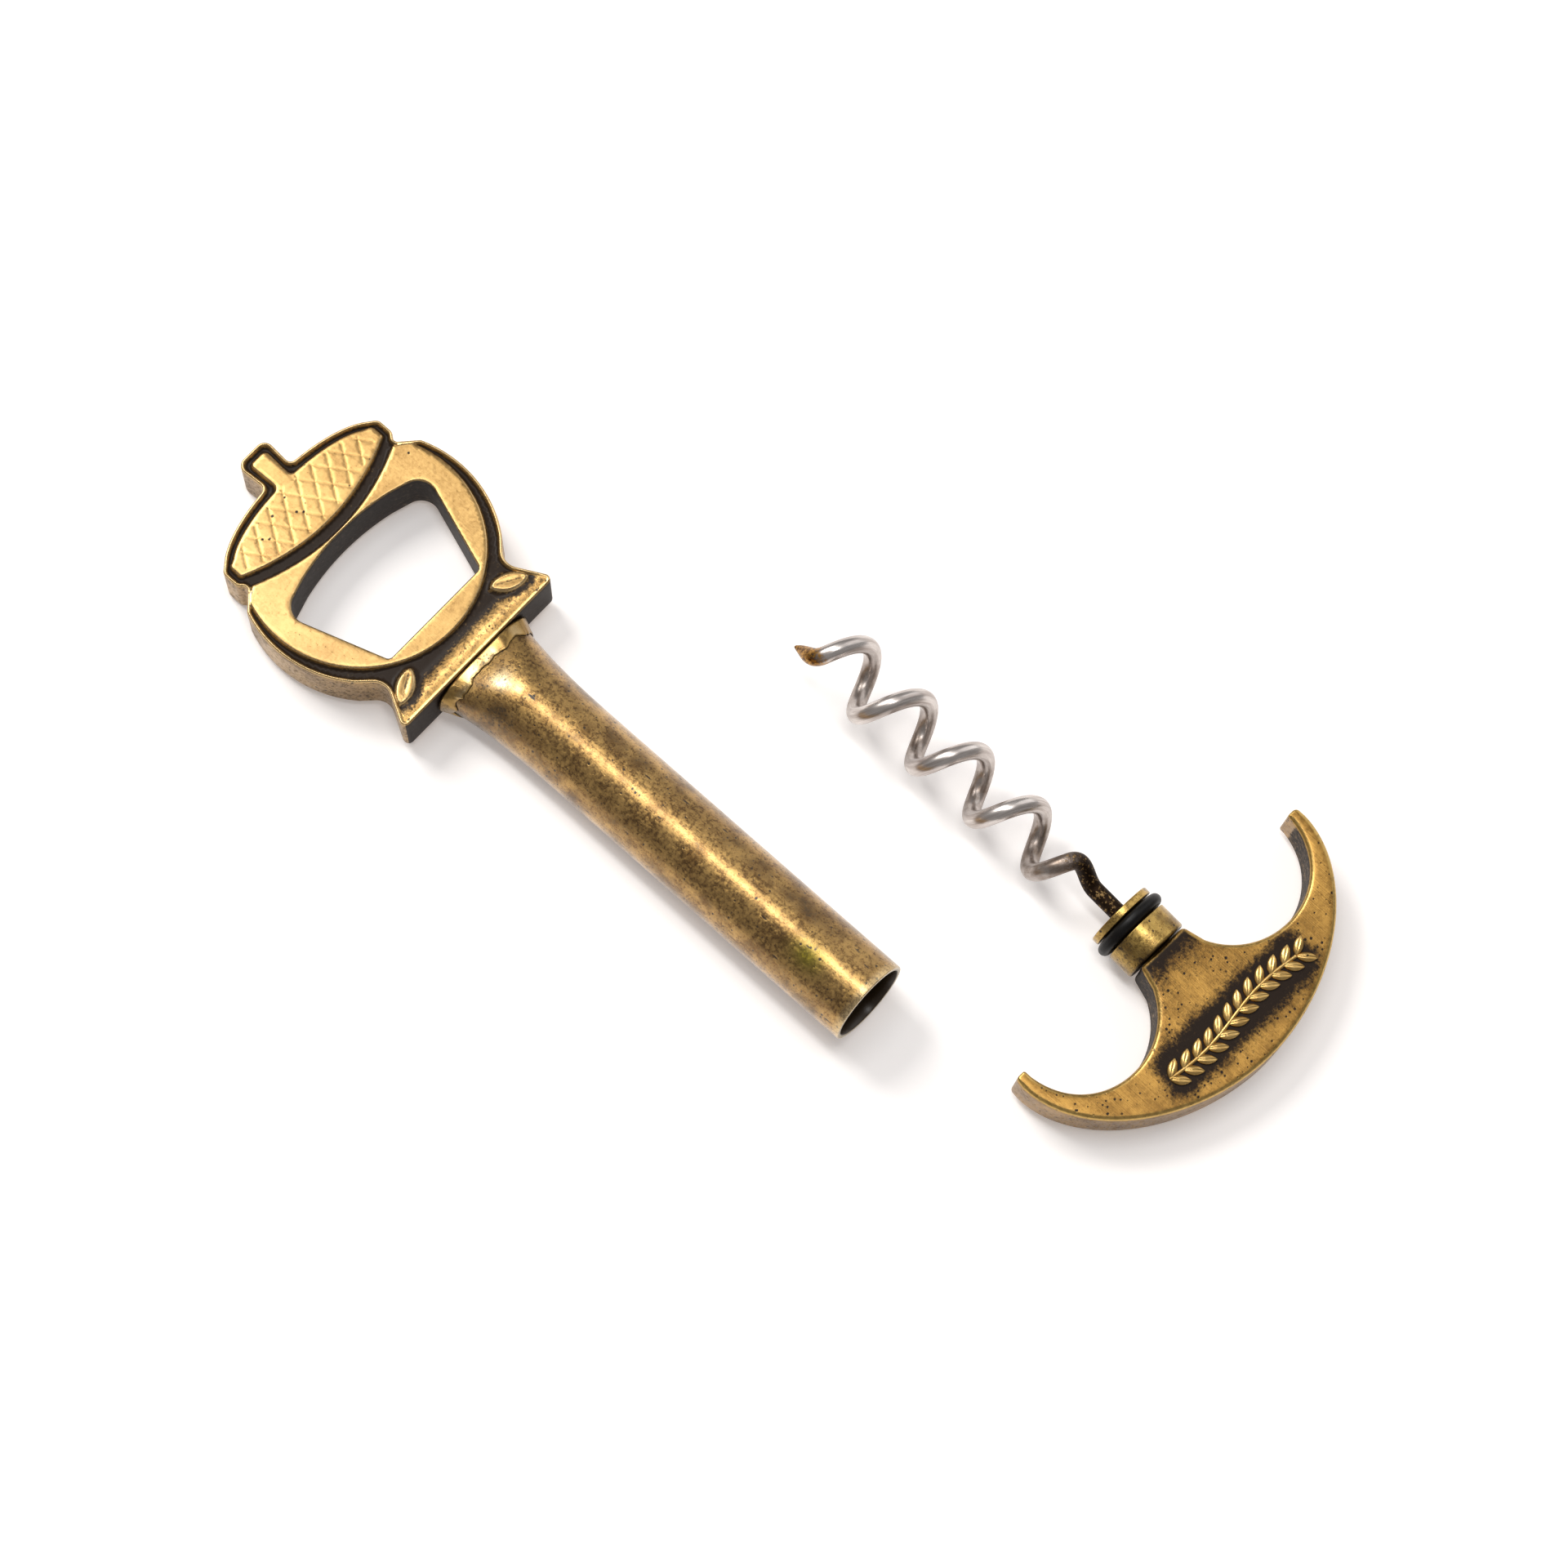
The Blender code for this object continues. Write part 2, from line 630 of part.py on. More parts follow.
def coil_point(turn):
    """Middle of the wire after a number of turns, counted from the top of the first crest."""
    left = WORM_LAST_TURN - turn
    x = -WORM_TO_DISC - WORM_PITCH * left
    radius = COIL_RADIUS + COIL_FLARE * left / WORM_LAST_TURN
    angle = 2 * math.pi * turn
    return Vector((x, radius * math.sin(angle) - WORM_ASIDE + x * math.tan(math.radians(WORM_LEAN)),
                   radius * math.cos(angle) + x * math.tan(math.radians(WORM_DROOP))))


def bend(start, leaving, meeting, end):
    """Points after start on a smooth bend to end, with its handles as vectors."""
    out = []
    for k in range(1, BEND_STEPS + 1):
        t = k / BEND_STEPS
        u = 1 - t
        out.append(start * u ** 2 * (u + 3 * t) + leaving * 3 * u * u * t
                   + end * t ** 2 * (t + 3 * u) + meeting * 3 * u * t * t)
    return out


def worm_path():
    """Points along the wire's middle, from its sharp end into the plug."""
    turns = WORM_LAST_TURN - WORM_FIRST_TURN
    count = round(turns * COIL_STEPS)
    coil = [coil_point(WORM_FIRST_TURN + turns * k / count) for k in range(count + 1)]
    into = (coil[0] - coil[1]).normalized()
    point = coil[0] - Vector((TIP_REACH, TIP_ASIDE, TIP_DROP))
    back = Vector(TIP_BACK).normalized()
    tip = bend(coil[0], into * TIP_EASE, back * TIP_EASE, point)
    out = (coil[-1] - coil[-2]).normalized()
    straight = Vector((-SHANK_STRAIGHT, 0.0, 0.0))
    shank = bend(coil[-1], out * SHANK_SWING, Vector((-SHANK_EASE, 0.0, 0.0)), straight)
    return tip[::-1] + coil + shank + [Vector((0.0, 0.0, 0.0)), Vector((SHANK_INSET, 0.0, 0.0))]


def least_self_gap(path):
    """Least distance between stretches of wire that are a half turn or more apart."""
    apart = COIL_STEPS // 2
    least = min((path[i] - path[j]).length for i in range(len(path)) for j in range(i + apart, len(path)))
    return least - WIRE_DIA


def build_worm(mat, parent):
    path = worm_path()
    print("least gap between turns of the worm, mm:", round(least_self_gap(path) / MM, 2))
    lengths = [0.0]
    for p, q in zip(path, path[1:]):
        lengths.append(lengths[-1] + (q - p).length)
    bm = bmesh.new()
    loops = []
    side = None
    for i, p in enumerate(path):
        along = (path[min(i + 1, len(path) - 1)] - path[max(i - 1, 0)]).normalized()
        side = Vector((0, 0, 1)) if side is None else side
        side = (side - along * side.dot(along)).normalized()
        other = along.cross(side)
        share = min(1.0, lengths[i] / TIP_LENGTH)
        radius = TIP_FLAT / 2 + (WIRE_DIA - TIP_FLAT) / 2 * math.sin(share * math.pi / 2) ** TIP_POWER
        loops.append(ring_of(bm, [p + radius * (side * math.cos(a) + other * math.sin(a))
                                  for a in round_angles(WIRE_SIDES)]))
    for first, second in zip(loops, loops[1:]):
        bridge(bm, first, second)
    bm.faces.new(loops[0])
    bm.faces.new(loops[-1])
    item = make_object("worm", bm, mat, parent)
    smooth(item, 60.0)
    return item


# Setting both halves down


def lowest(items):
    """Lowest point of the evaluated pieces, in the world."""
    bpy.context.view_layer.update()
    graph = bpy.context.evaluated_depsgraph_get()
    low = math.inf
    for item in items:
        shape = item.evaluated_get(graph)
        low = min(low, min((shape.matrix_world @ v.co).z for v in shape.data.vertices))
    return low


def plan_centre(items):
    """Middle of the pieces' outline in plan."""
    graph = bpy.context.evaluated_depsgraph_get()
    shapes = [item.evaluated_get(graph) for item in items]
    spots = [shape.matrix_world @ v.co for shape in shapes for v in shape.data.vertices]
    xs, ys = [p.x for p in spots], [p.y for p in spots]
    return (min(xs) + max(xs)) / 2, (min(ys) + max(ys)) / 2


def holder(name):
    empty = bpy.data.objects.new(name, None)
    empty.empty_display_size = TUBE_DIA
    bpy.context.scene.collection.objects.link(empty)
    return empty


def main():
    clear_scene()
    cast = material("cast_antique_brass", (0.46, 0.31, 0.12), 1.0, 0.38)
    drawn = material("drawn_antique_brass", (0.33, 0.22, 0.09), 1.0, 0.40)
    braze = material("braze_metal", (0.55, 0.42, 0.20), 1.0, 0.30)
    steel = material("bright_steel_wire", (0.56, 0.54, 0.51), 1.0, 0.25)
    rubber = material("black_rubber", (0.012, 0.012, 0.013), 0.0, 0.55)

    opener = holder("opener_lie")
    head_length = CUP_RIM / 2 + CUP_RISE + STEM_LENGTH - cup_places()[0]
    opener_lean = math.atan2((TUBE_DIA - HEAD_THICK) / 2, head_length + PRESSED_LENGTH)
    opener.rotation_euler = (0.0, -opener_lean, 0.0)
    opener_pieces = [build_head(cast, opener), build_tube(drawn, opener), build_bead(braze, opener)]

    corkscrew = holder("corkscrew_lie")
    ring_at = DISC_THICK + GROOVE_WIDTH / 2
    corkscrew_lean = math.atan2((O_RING_DIA - HANDLE_THICK) / 2, ARM_REACH - ring_at)
    corkscrew.rotation_euler = (0.0, corkscrew_lean, math.radians(CORKSCREW_YAW))
    corkscrew.location = (CORKSCREW_ALONG, CORKSCREW_ASIDE, 0.0)
    corkscrew_pieces = [build_handle(cast, corkscrew), build_plug(drawn, corkscrew),
                        build_o_ring(rubber, corkscrew), build_worm(steel, corkscrew)]

    for empty, pieces in ((opener, opener_pieces), (corkscrew, corkscrew_pieces)):
        empty.location.z -= lowest(pieces)
    bpy.context.view_layer.update()
    x, y = plan_centre(opener_pieces + corkscrew_pieces)
    for empty in (opener, corkscrew):
        empty.location.x -= x
        empty.location.y -= y


main()
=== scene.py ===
# %% [markdown]
# # A cork puller in two halves
# The tool lies open on a white table. On the left is a brass sheath whose flat head opens crown caps,
# and on the right the corkscrew that is pushed into it. The model from the CAD is the fixed frame:
# every piece below is made where that frame says, and takes the place of its plain solid.

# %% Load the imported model
import math

import bmesh
import bpy
import numpy as np
from mathutils import Matrix, Vector, noise
from mathutils.geometry import delaunay_2d_cdt
from mathutils.kdtree import KDTree


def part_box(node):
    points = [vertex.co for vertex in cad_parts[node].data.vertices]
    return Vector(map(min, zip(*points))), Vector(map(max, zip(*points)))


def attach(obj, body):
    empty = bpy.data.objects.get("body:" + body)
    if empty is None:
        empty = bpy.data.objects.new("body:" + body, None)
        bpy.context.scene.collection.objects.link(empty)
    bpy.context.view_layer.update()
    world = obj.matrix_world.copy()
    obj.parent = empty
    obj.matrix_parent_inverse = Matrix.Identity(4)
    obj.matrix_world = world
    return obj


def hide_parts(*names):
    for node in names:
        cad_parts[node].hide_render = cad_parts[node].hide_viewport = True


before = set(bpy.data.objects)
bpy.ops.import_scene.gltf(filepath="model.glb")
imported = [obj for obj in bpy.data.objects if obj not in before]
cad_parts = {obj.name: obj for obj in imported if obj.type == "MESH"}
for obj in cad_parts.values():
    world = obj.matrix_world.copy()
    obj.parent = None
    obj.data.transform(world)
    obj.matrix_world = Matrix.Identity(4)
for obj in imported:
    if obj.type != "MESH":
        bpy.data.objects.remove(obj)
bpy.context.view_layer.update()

MM = 0.001
print("nodes:", sorted(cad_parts))

# %% [markdown]
# ## Where both halves lie
# Each half is drawn about its own axis, which runs along X, and is then leaned and set down as the
# CAD's halves are. The lean follows from how the half rests: the sheath on its own round side and the
# end of its head, the corkscrew on its rubber ring and its handle. The place is read from the frame.

# %% Sizes that both halves share
SHEATH_LENGTH, TUBE_DIA, TUBE_WALL, PRESSED_LENGTH = 85.7 * MM, 15.2 * MM, 0.85 * MM, 10.5 * MM
HEAD_THICK, HANDLE_THICK = 9.6 * MM, 9.6 * MM
RING_RADIUS, RING_TO_BASE, NOTCH_DEPTH, NOTCH_ANGLE = 22.0 * MM, 24.9 * MM, 1.6 * MM, 122.6
CUP_STEP, CUP_OVERHANG, CUP_RIM, CUP_RISE, STEM_LENGTH = 1.3 * MM, 1.2 * MM, 3.2 * MM, 7.0 * MM, 6.2 * MM
DISC_THICK, GROOVE_WIDTH, PLUG_BODY, O_RING_DIA = 1.3 * MM, 2.7 * MM, 4.8 * MM, 13.6 * MM
ARM_REACH, GAP = 33.9 * MM, 0.3 * MM
CORKSCREW_YAW = math.radians(-2.8)


def on_ring(radius, degrees):
    """A place on a circle round the ring of the head; x = 0 is the edge that carries the tube."""
    angle = math.radians(degrees)
    return (radius * math.cos(angle) - RING_TO_BASE, radius * math.sin(angle))


NOTCH = on_ring(RING_RADIUS - NOTCH_DEPTH, NOTCH_ANGLE)
CUP_X, CUP_Y = NOTCH[0] - CUP_STEP, NOTCH[1] + CUP_OVERHANG
head_length = CUP_RIM / 2 + CUP_RISE + STEM_LENGTH - CUP_X
print("length of the head in mm:", round(head_length / MM, 2))


# %% Matrices that lay the halves down
def laid(lean, yaw, local, world):
    """The matrix that leans and turns a half, and brings its point local to the place world."""
    turn = Matrix.Rotation(yaw, 4, 'Z') @ Matrix.Rotation(lean, 4, 'Y')
    return Matrix.Translation(world - turn @ Vector(local)) @ turn


opener_lean = -math.atan2((TUBE_DIA - HEAD_THICK) / 2, head_length + PRESSED_LENGTH)
low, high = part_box("sheath_tube")
mouth = Vector((high.x + TUBE_DIA / 2 * math.sin(opener_lean), (low.y + high.y) / 2,
                high.z - TUBE_DIA / 2 * math.cos(opener_lean)))
OPENER = laid(opener_lean, 0.0, (0, 0, 0), mouth)
HEAD = OPENER @ Matrix.Translation((-SHEATH_LENGTH, 0, 0))

ring_at = DISC_THICK + GROOVE_WIDTH / 2
corkscrew_lean = math.atan2((O_RING_DIA - HANDLE_THICK) / 2, ARM_REACH - ring_at)
low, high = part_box("o_ring")
CORKSCREW = laid(corkscrew_lean, CORKSCREW_YAW, (ring_at, 0, 0), (low + high) / 2)
print("mouth of the sheath in mm:", [round(v / MM, 2) for v in mouth])

# %% [markdown]
# ## The camera
# The photograph looks down on the table from nearly overhead with a long lens, so the halves keep
# their true shapes and only a little of their lower left sides shows. The place and the three axes
# of the camera were found by laying the CAD's outline over the photograph, and are kept here as a
# distance from the mouth of the sheath, so that the camera follows the part.

# %% Set up the camera
scene = bpy.context.scene
RIGHT = (0.736553, 0.675733, 0.029583)
UP = (-0.654735, 0.701325, 0.281896)
BACK = (0.169739, -0.227001, 0.958989)
FROM_MOUTH = Vector((122.51, -192.60, 888.23)) * MM
SENSOR_WIDTH, FOCAL_LENGTH = 36.0, 131.25       # millimetres
NEAREST, FARTHEST = 0.05, 20.0                  # metres

camera_data = bpy.data.cameras.new("camera")
camera_data.sensor_width, camera_data.lens = SENSOR_WIDTH, FOCAL_LENGTH
camera_data.clip_start, camera_data.clip_end = NEAREST, FARTHEST
camera = bpy.data.objects.new("camera", camera_data)
axes = Matrix((RIGHT, UP, BACK)).transposed().to_4x4()
camera.matrix_world = Matrix.Translation(mouth + FROM_MOUTH) @ axes
scene.collection.objects.link(camera)
scene.camera = camera
print("camera in mm:", [round(v / MM) for v in camera.matrix_world.translation])

# %% [markdown]
# ## Helpers for node trees and colours
# Every finish is a small network of nodes. One function adds a node with its settings and links, for
# shader trees and geometry trees alike. Colours are written as they are picked on a screen, in sRGB,
# and turned to the linear numbers that the renderer works with.


# %% Node and colour helpers
def linear(hex_colour):
    """An sRGB hex colour as linear numbers with full alpha."""
    parts = [int(hex_colour[k:k + 2], 16) / 255 for k in (0, 2, 4)]
    return (*[c / 12.92 if c <= 0.04045 else ((c + 0.055) / 1.055) ** 2.4 for c in parts], 1.0)


def add(tree, kind, inputs=(), out=None, **settings):
    """Add a node and return its outputs, or the one named by out.

    Inputs go to its sockets by name or in order: a value, a hex colour, another node's output, or a list
    of outputs. Settings are the node's own properties."""
    item = tree.nodes.new(kind)
    for key, value in settings.items():
        setattr(item, key, value)
    for key, given in inputs.items() if isinstance(inputs, dict) else enumerate(inputs):
        socket = item.inputs[key]
        for value in given if isinstance(given, list) else [given]:
            if isinstance(value, bpy.types.NodeSocket):
                tree.links.new(value, socket)
            else:
                socket.default_value = linear(value) if socket.type == 'RGBA' else value
    return item.outputs if out is None else item.outputs[out]


def new_material(name):
    """A material, its tree and the inputs of its Principled shader."""
    mat = bpy.data.materials.new(name)
    mat.use_nodes = True
    return mat, mat.node_tree, mat.node_tree.nodes["Principled BSDF"].inputs


SUM, RANGE, BLEND, NOISE = 'ShaderNodeMath', 'ShaderNodeMapRange', 'ShaderNodeMix', 'ShaderNodeTexNoise'
STORED, PLACE, TURNED = 'ShaderNodeAttribute', 'ShaderNodeTexCoord', 'ShaderNodeMapping'
print("linear mid grey:", [round(v, 3) for v in linear("808080")])

# %% [markdown]
# ## Antique brass
# All brass pieces were dipped in a blackening bath and then rubbed back: the bath leaves a brown-black
# skin in every recess, while raised faces and edges return to golden metal. It could be painted, but
# here each piece carries numbers at its vertices: *patina* (how much of the skin is left), one for
# wear (how bright an edge is rubbed) which also carries painted highlights, and *stain* (verdigris),
# and the finish breaks them up with noise. The skin is an oxide and no metal, so it mirrors the white
# table only at a flat angle, which turns the side walls beige. Casting and handling leave round pits
# and short ticks of a quarter of a millimetre; they are drawn a little coarser so that they show.
# There are more pits where more of the skin is left.


# %% Pits and ticks
SMALLEST_PIT_SHARE, PIT_FLOOR_SHARE = 0.35, 0.5


def pits_of(tree, place, spacing, size, share, stretch=1.0, turn=0.0):
    """Scattered small pits: one in each cell of spacing millimetres, of which only a share is kept."""
    cells = 1 / (spacing * MM)
    turned = add(tree, TURNED, {0: place, "Rotation": (0, 0, turn),
                                "Scale": (cells / stretch, cells, cells)}, 0)
    cell = add(tree, 'ShaderNodeTexVoronoi', {"Vector": turned, "Scale": 1.0})
    lots = add(tree, 'ShaderNodeSeparateColor', {0: cell["Color"]})
    width = add(tree, RANGE, (lots[1], 0.0, 1.0, SMALLEST_PIT_SHARE * size / spacing, size / spacing), 0)
    across = add(tree, SUM, (cell["Distance"], width), 0, operation='DIVIDE')
    depth = add(tree, RANGE, (across, PIT_FLOOR_SHARE, 1.0, 1.0, 0.0), 0, interpolation_type='SMOOTHSTEP')
    kept = add(tree, SUM, (lots[0], share), 0, operation='LESS_THAN')
    return add(tree, SUM, (depth, kept), 0, operation='MULTIPLY')


# %% The brass finish
GRAIN_SIZE, SKIN_DEPTH, VERDIGRIS = 0.7 * MM, 0.07 * MM, "857A08"
BRUSH_TURN, BRUSH_MARKS = 0.5, (80, 8000, 900)          # radians; marks to the metre along, across and down
PIT_SPACING, PIT_SIZE, PITS_IN_SKIN_SHARE = 0.8, 0.33, 0.45                       # millimetres, a share
TICK_SPACING, TICK_SIZE, TICK_STRETCH, TICK_TURNS = 0.9, 0.28, 4.0, (0.7, -0.6)   # millimetres, radians


def antique_brass(name, golden, brown, bright, clouds, pits, grit=0.3, spread=0.22, ticks=0.0,
                  rough=0.34, skin="1C130C", oxide=0.75, brushed=0.25, wax=0.1):
    """clouds is their size in mm, grit the share of fine grain, spread the range over which tones turn."""
    mat, tree, shader = new_material(name)
    place = add(tree, PLACE, out="Object")
    patina, wear_and_highlight, stain = [add(tree, STORED, out="Fac", attribute_name=key)
                           for key in ("patina", "wear_and_highlight", "stain")]
    patches = add(tree, NOISE, {0: place, "Scale": 1 / (clouds * MM), "Detail": 6.0, "Roughness": 0.65}, 0)
    grain = add(tree, NOISE, {0: place, "Scale": 1 / GRAIN_SIZE, "Detail": 4.0, "Roughness": 0.8}, 0)
    brush = add(tree, TURNED, {0: place, "Rotation": (0, 0, BRUSH_TURN), "Scale": BRUSH_MARKS}, 0)
    hairs = add(tree, NOISE, {0: brush, "Scale": 1.0, "Detail": 2.0}, 0)
    share = add(tree, SUM, (patina, PITS_IN_SKIN_SHARE, pits), 0, operation='MULTIPLY_ADD')
    holes = pits_of(tree, place, PIT_SPACING, PIT_SIZE, share)
    for turn in TICK_TURNS if ticks else ():
        tick = pits_of(tree, place, TICK_SPACING, TICK_SIZE, ticks, TICK_STRETCH, turn)
        holes = add(tree, SUM, (holes, tick), 0, operation='MAXIMUM')

    left = add(tree, SUM, (grain, 1.6, patina), 0, operation='MULTIPLY_ADD')
    left = add(tree, SUM, (patches, -0.6, left), 0, operation='MULTIPLY_ADD')
    skin_left = add(tree, RANGE, (left, 0.75, 1.35), 0, interpolation_type='SMOOTHSTEP')
    uneven = add(tree, RANGE, (grain, 0.3, 0.6, 0.55, 1.0), 0)
    # The wear number also carries painted highlights, so this bright mix is partly painted highlight.
    rubbed_and_highlit = add(tree, SUM, (wear_and_highlight, uneven), 0, operation='MULTIPLY')
    mottle = add(tree, BLEND, {0: grit, 2: patches, 3: grain}, 0)
    mottle = add(tree, SUM, (hairs, brushed * 0.4, mottle), 0, operation='MULTIPLY_ADD')
    middle = 0.5 + brushed * 0.2
    golden_here = add(tree, RANGE, (mottle, middle - spread, middle + spread), 0,
                      interpolation_type='SMOOTHSTEP')
    colour = add(tree, BLEND, {0: golden_here, 6: brown, 7: golden}, 2, data_type='RGBA')
    for cover, over in ((skin_left, skin), (stain, VERDIGRIS), (holes, skin), (rubbed_and_highlit, bright)):
        colour = add(tree, BLEND, {0: cover, 6: colour, 7: over}, 2, data_type='RGBA')
    tree.links.new(colour, shader["Base Color"])

    oxidised = add(tree, SUM, (skin_left, oxide), 0, operation='MULTIPLY')
    dull = add(tree, SUM, (oxidised, holes), 0, operation='MAXIMUM')
    bare = add(tree, SUM, (1.0, dull), 0, operation='SUBTRACT')
    tree.links.new(add(tree, SUM, (bare, rubbed_and_highlit), 0, operation='MAXIMUM'), shader["Metallic"])
    gloss = add(tree, RANGE, (grain, 0.3, 0.7, rough - 0.04, rough + 0.06), 0)
    gloss = add(tree, SUM, (rubbed_and_highlit, -0.08, gloss), 0, operation='MULTIPLY_ADD')
    gloss = add(tree, SUM, (skin_left, 0.3, gloss), 0, operation='MULTIPLY_ADD')
    tree.links.new(gloss, shader["Roughness"])
    rind = add(tree, RANGE, (skin_left, 0.0, 1.0, 0.35, 1.7), 0)
    rind = add(tree, SUM, (grain, rind), 0, operation='MULTIPLY')
    height = add(tree, SUM, (hairs, brushed, rind), 0, operation='MULTIPLY_ADD')
    height = add(tree, SUM, (holes, -1.2, height), 0, operation='MULTIPLY_ADD')
    bump = add(tree, 'ShaderNodeBump', {"Strength": 0.5, "Distance": SKIN_DEPTH, "Height": height}, 0)
    tree.links.new(bump, shader["Normal"])
    shader["Specular IOR Level"].default_value = 0.12
    shader["Coat Weight"].default_value, shader["Coat Roughness"].default_value = wax, 0.3
    return mat


head_brass = antique_brass(
    "cast_antique_brass", "B08E57", "88683A", "DCC190", clouds=8.0, pits=0.03, grit=0.4, spread=0.15,
    rough=0.31, skin="23170C", oxide=0.85, wax=0.12)
handle_brass = antique_brass(
    "cast_olive_brass", "A67F40", "745529", "D8B66E", clouds=5.0, pits=0.24, grit=0.5, spread=0.13,
    skin="21150B", oxide=0.85, brushed=0.55)
drawn_brass = antique_brass(
    "drawn_antique_brass", "C29A58", "71501F", "F6E2B4", clouds=5.0, pits=0.05, grit=0.58, spread=0.1,
    ticks=0.07, rough=0.28, skin="33240F", oxide=0.35, wax=0.75)
turned_brass = antique_brass(
    "turned_antique_brass", "C4A258", "7A5E2C", "F6E6B4", clouds=4.0, pits=0.08, grit=0.6, spread=0.12,
    rough=0.28, skin="2A1C0E", oxide=0.5, wax=0.3)
braze_brass = antique_brass(
    "brazed_joint", "9E7F46", "846639", "FBEBC4", clouds=3.0, pits=0.03, rough=0.28, oxide=0.4, wax=0.3)
print("finishes:", [m.name for m in (head_brass, handle_brass, drawn_brass, turned_brass, braze_brass)])

# %% [markdown]
# ## Drawn steel wire
# The worm is bright drawn wire, hardened and polished, so it mirrors the white table and the dark
# room in long soft streaks. Corks leave grey-brown dirt in it, most near the plug, and the lower half
# of each turn is darkened with the same grey-brown as painted shade. The ground point is bronze with
# heat, and the shank that was soldered into the plug is scaled almost black. Three things stored at
# each vertex steer this: *along*, the distance from the point in millimetres, *around*, the place on
# the wire's round section, and one number for the dirt together with the painted shade.


# %% The steel finish
STREAKS_ALONG, STREAKS_ACROSS = 0.11, (1400, 1400, 0)   # to the millimetre, and to the metre
SMEAR_SIZE, FLAKE_SIZE, FLAKE_DEPTH = 2.4 * MM, 0.6 * MM, 0.16 * MM
# Counted in reach, the distance in millimetres plus up to 3.5 of noise: from the point, and from SHANK_FROM.
REACH_NOISE, TINT_ENDS, SCALE_STARTS = 3.5, (7.7, 9.7), (1.7, 5.2)


def bright_wire(name):
    """Drawn steel, dirty and with painted shade low on each turn, heat-tinted at its point, scaled at its
    shank.
    """
    mat, tree, shader = new_material(name)
    place = add(tree, PLACE, out="Object")
    along, dirt = [add(tree, STORED, out="Fac", attribute_name=key) for key in ("along", "dirt")]
    around = add(tree, STORED, out="Vector", attribute_name="around")
    lengthwise = add(tree, SUM, (along, STREAKS_ALONG), 0, operation='MULTIPLY')
    drawn = add(tree, 'ShaderNodeCombineXYZ', {2: lengthwise}, 0)
    drawn = add(tree, 'ShaderNodeVectorMath', (around, STREAKS_ACROSS, drawn), 0, operation='MULTIPLY_ADD')
    streaks = add(tree, NOISE, {0: drawn, "Scale": 1.0, "Detail": 4.0, "Roughness": 0.7}, 0)
    smear = add(tree, NOISE, {0: place, "Scale": 1 / SMEAR_SIZE, "Detail": 5.0, "Roughness": 0.7}, 0)
    scale = add(tree, NOISE, {0: place, "Scale": 1 / FLAKE_SIZE, "Detail": 4.0, "Roughness": 0.6}, 0)

    light = add(tree, RANGE, (streaks, 0.35, 0.65), 0, interpolation_type='SMOOTHSTEP')
    steel = add(tree, BLEND, {0: light, 6: "AFA59F", 7: "D8D1CC"}, 2, data_type='RGBA')
    # The stored dirt also holds painted shade on the lower half of each turn, so the grey-brown 6B5848 is
    # partly painted shade.
    soil_and_shade = add(tree, SUM, (streaks, 1.1, dirt), 0, operation='MULTIPLY_ADD')
    soil_and_shade = add(tree, SUM, (smear, 0.9, soil_and_shade), 0, operation='MULTIPLY_ADD')
    soiled_and_shaded = add(tree, RANGE, (soil_and_shade, 1.35, 2.0, 0.0, 0.85), 0, interpolation_type='SMOOTHSTEP')
    steel = add(tree, BLEND, {0: soiled_and_shaded, 6: steel, 7: "6B5848"}, 2, data_type='RGBA')
    dark = add(tree, RANGE, (scale, 0.35, 0.65), 0, interpolation_type='SMOOTHSTEP')
    bronze = add(tree, BLEND, {0: dark, 6: "B98A48", 7: "4A2E14"}, 2, data_type='RGBA')
    reach = add(tree, SUM, (scale, REACH_NOISE, along), 0, operation='MULTIPLY_ADD')
    past_tip = add(tree, RANGE, (reach, *TINT_ENDS), 0, interpolation_type='SMOOTHSTEP')
    colour = add(tree, BLEND, {0: past_tip, 6: bronze, 7: steel}, 2, data_type='RGBA')
    starts = [SHANK_FROM / MM + more for more in SCALE_STARTS]
    black = add(tree, RANGE, (reach, *starts), 0, interpolation_type='SMOOTHSTEP')
    flakes = add(tree, RANGE, (scale, 0.54, 0.66), 0, interpolation_type='SMOOTHSTEP')
    scaled = add(tree, BLEND, {0: flakes, 6: "2A1F17", 7: "94784E"}, 2, data_type='RGBA')
    colour = add(tree, BLEND, {0: black, 6: colour, 7: scaled}, 2, data_type='RGBA')
    tree.links.new(colour, shader["Base Color"])
    shader["Metallic"].default_value = 1.0
    rough = add(tree, RANGE, (streaks, 0.3, 0.7, 0.34, 0.25), 0)
    rough = add(tree, SUM, (soiled_and_shaded, 0.12, rough), 0, operation='MULTIPLY_ADD')
    rough = add(tree, SUM, (black, 0.18, rough), 0, operation='MULTIPLY_ADD')
    tree.links.new(rough, shader["Roughness"])
    rind = add(tree, RANGE, (black, 0.0, 1.0, 0.03, 1.6), 0)
    rind = add(tree, SUM, (scale, rind), 0, operation='MULTIPLY')
    height = add(tree, SUM, (streaks, 0.15, rind), 0, operation='MULTIPLY_ADD')
    bump = add(tree, 'ShaderNodeBump', {"Strength": 0.6, "Distance": FLAKE_DEPTH, "Height": height}, 0)
    tree.links.new(bump, shader["Normal"])
    return mat


# %% [markdown]
# ## The worm
# The worm is one wire wound left-handed into an open helix, bent a little aside, with its point
# swept forward and its shank brought back to the axis. A helix is a rule, so Geometry Nodes build it:
# Python lays down the middle line as a chain of points, each with its own thickness, and the tree
# turns the chain into a curve, sweeps a circle along it and caps both ends.

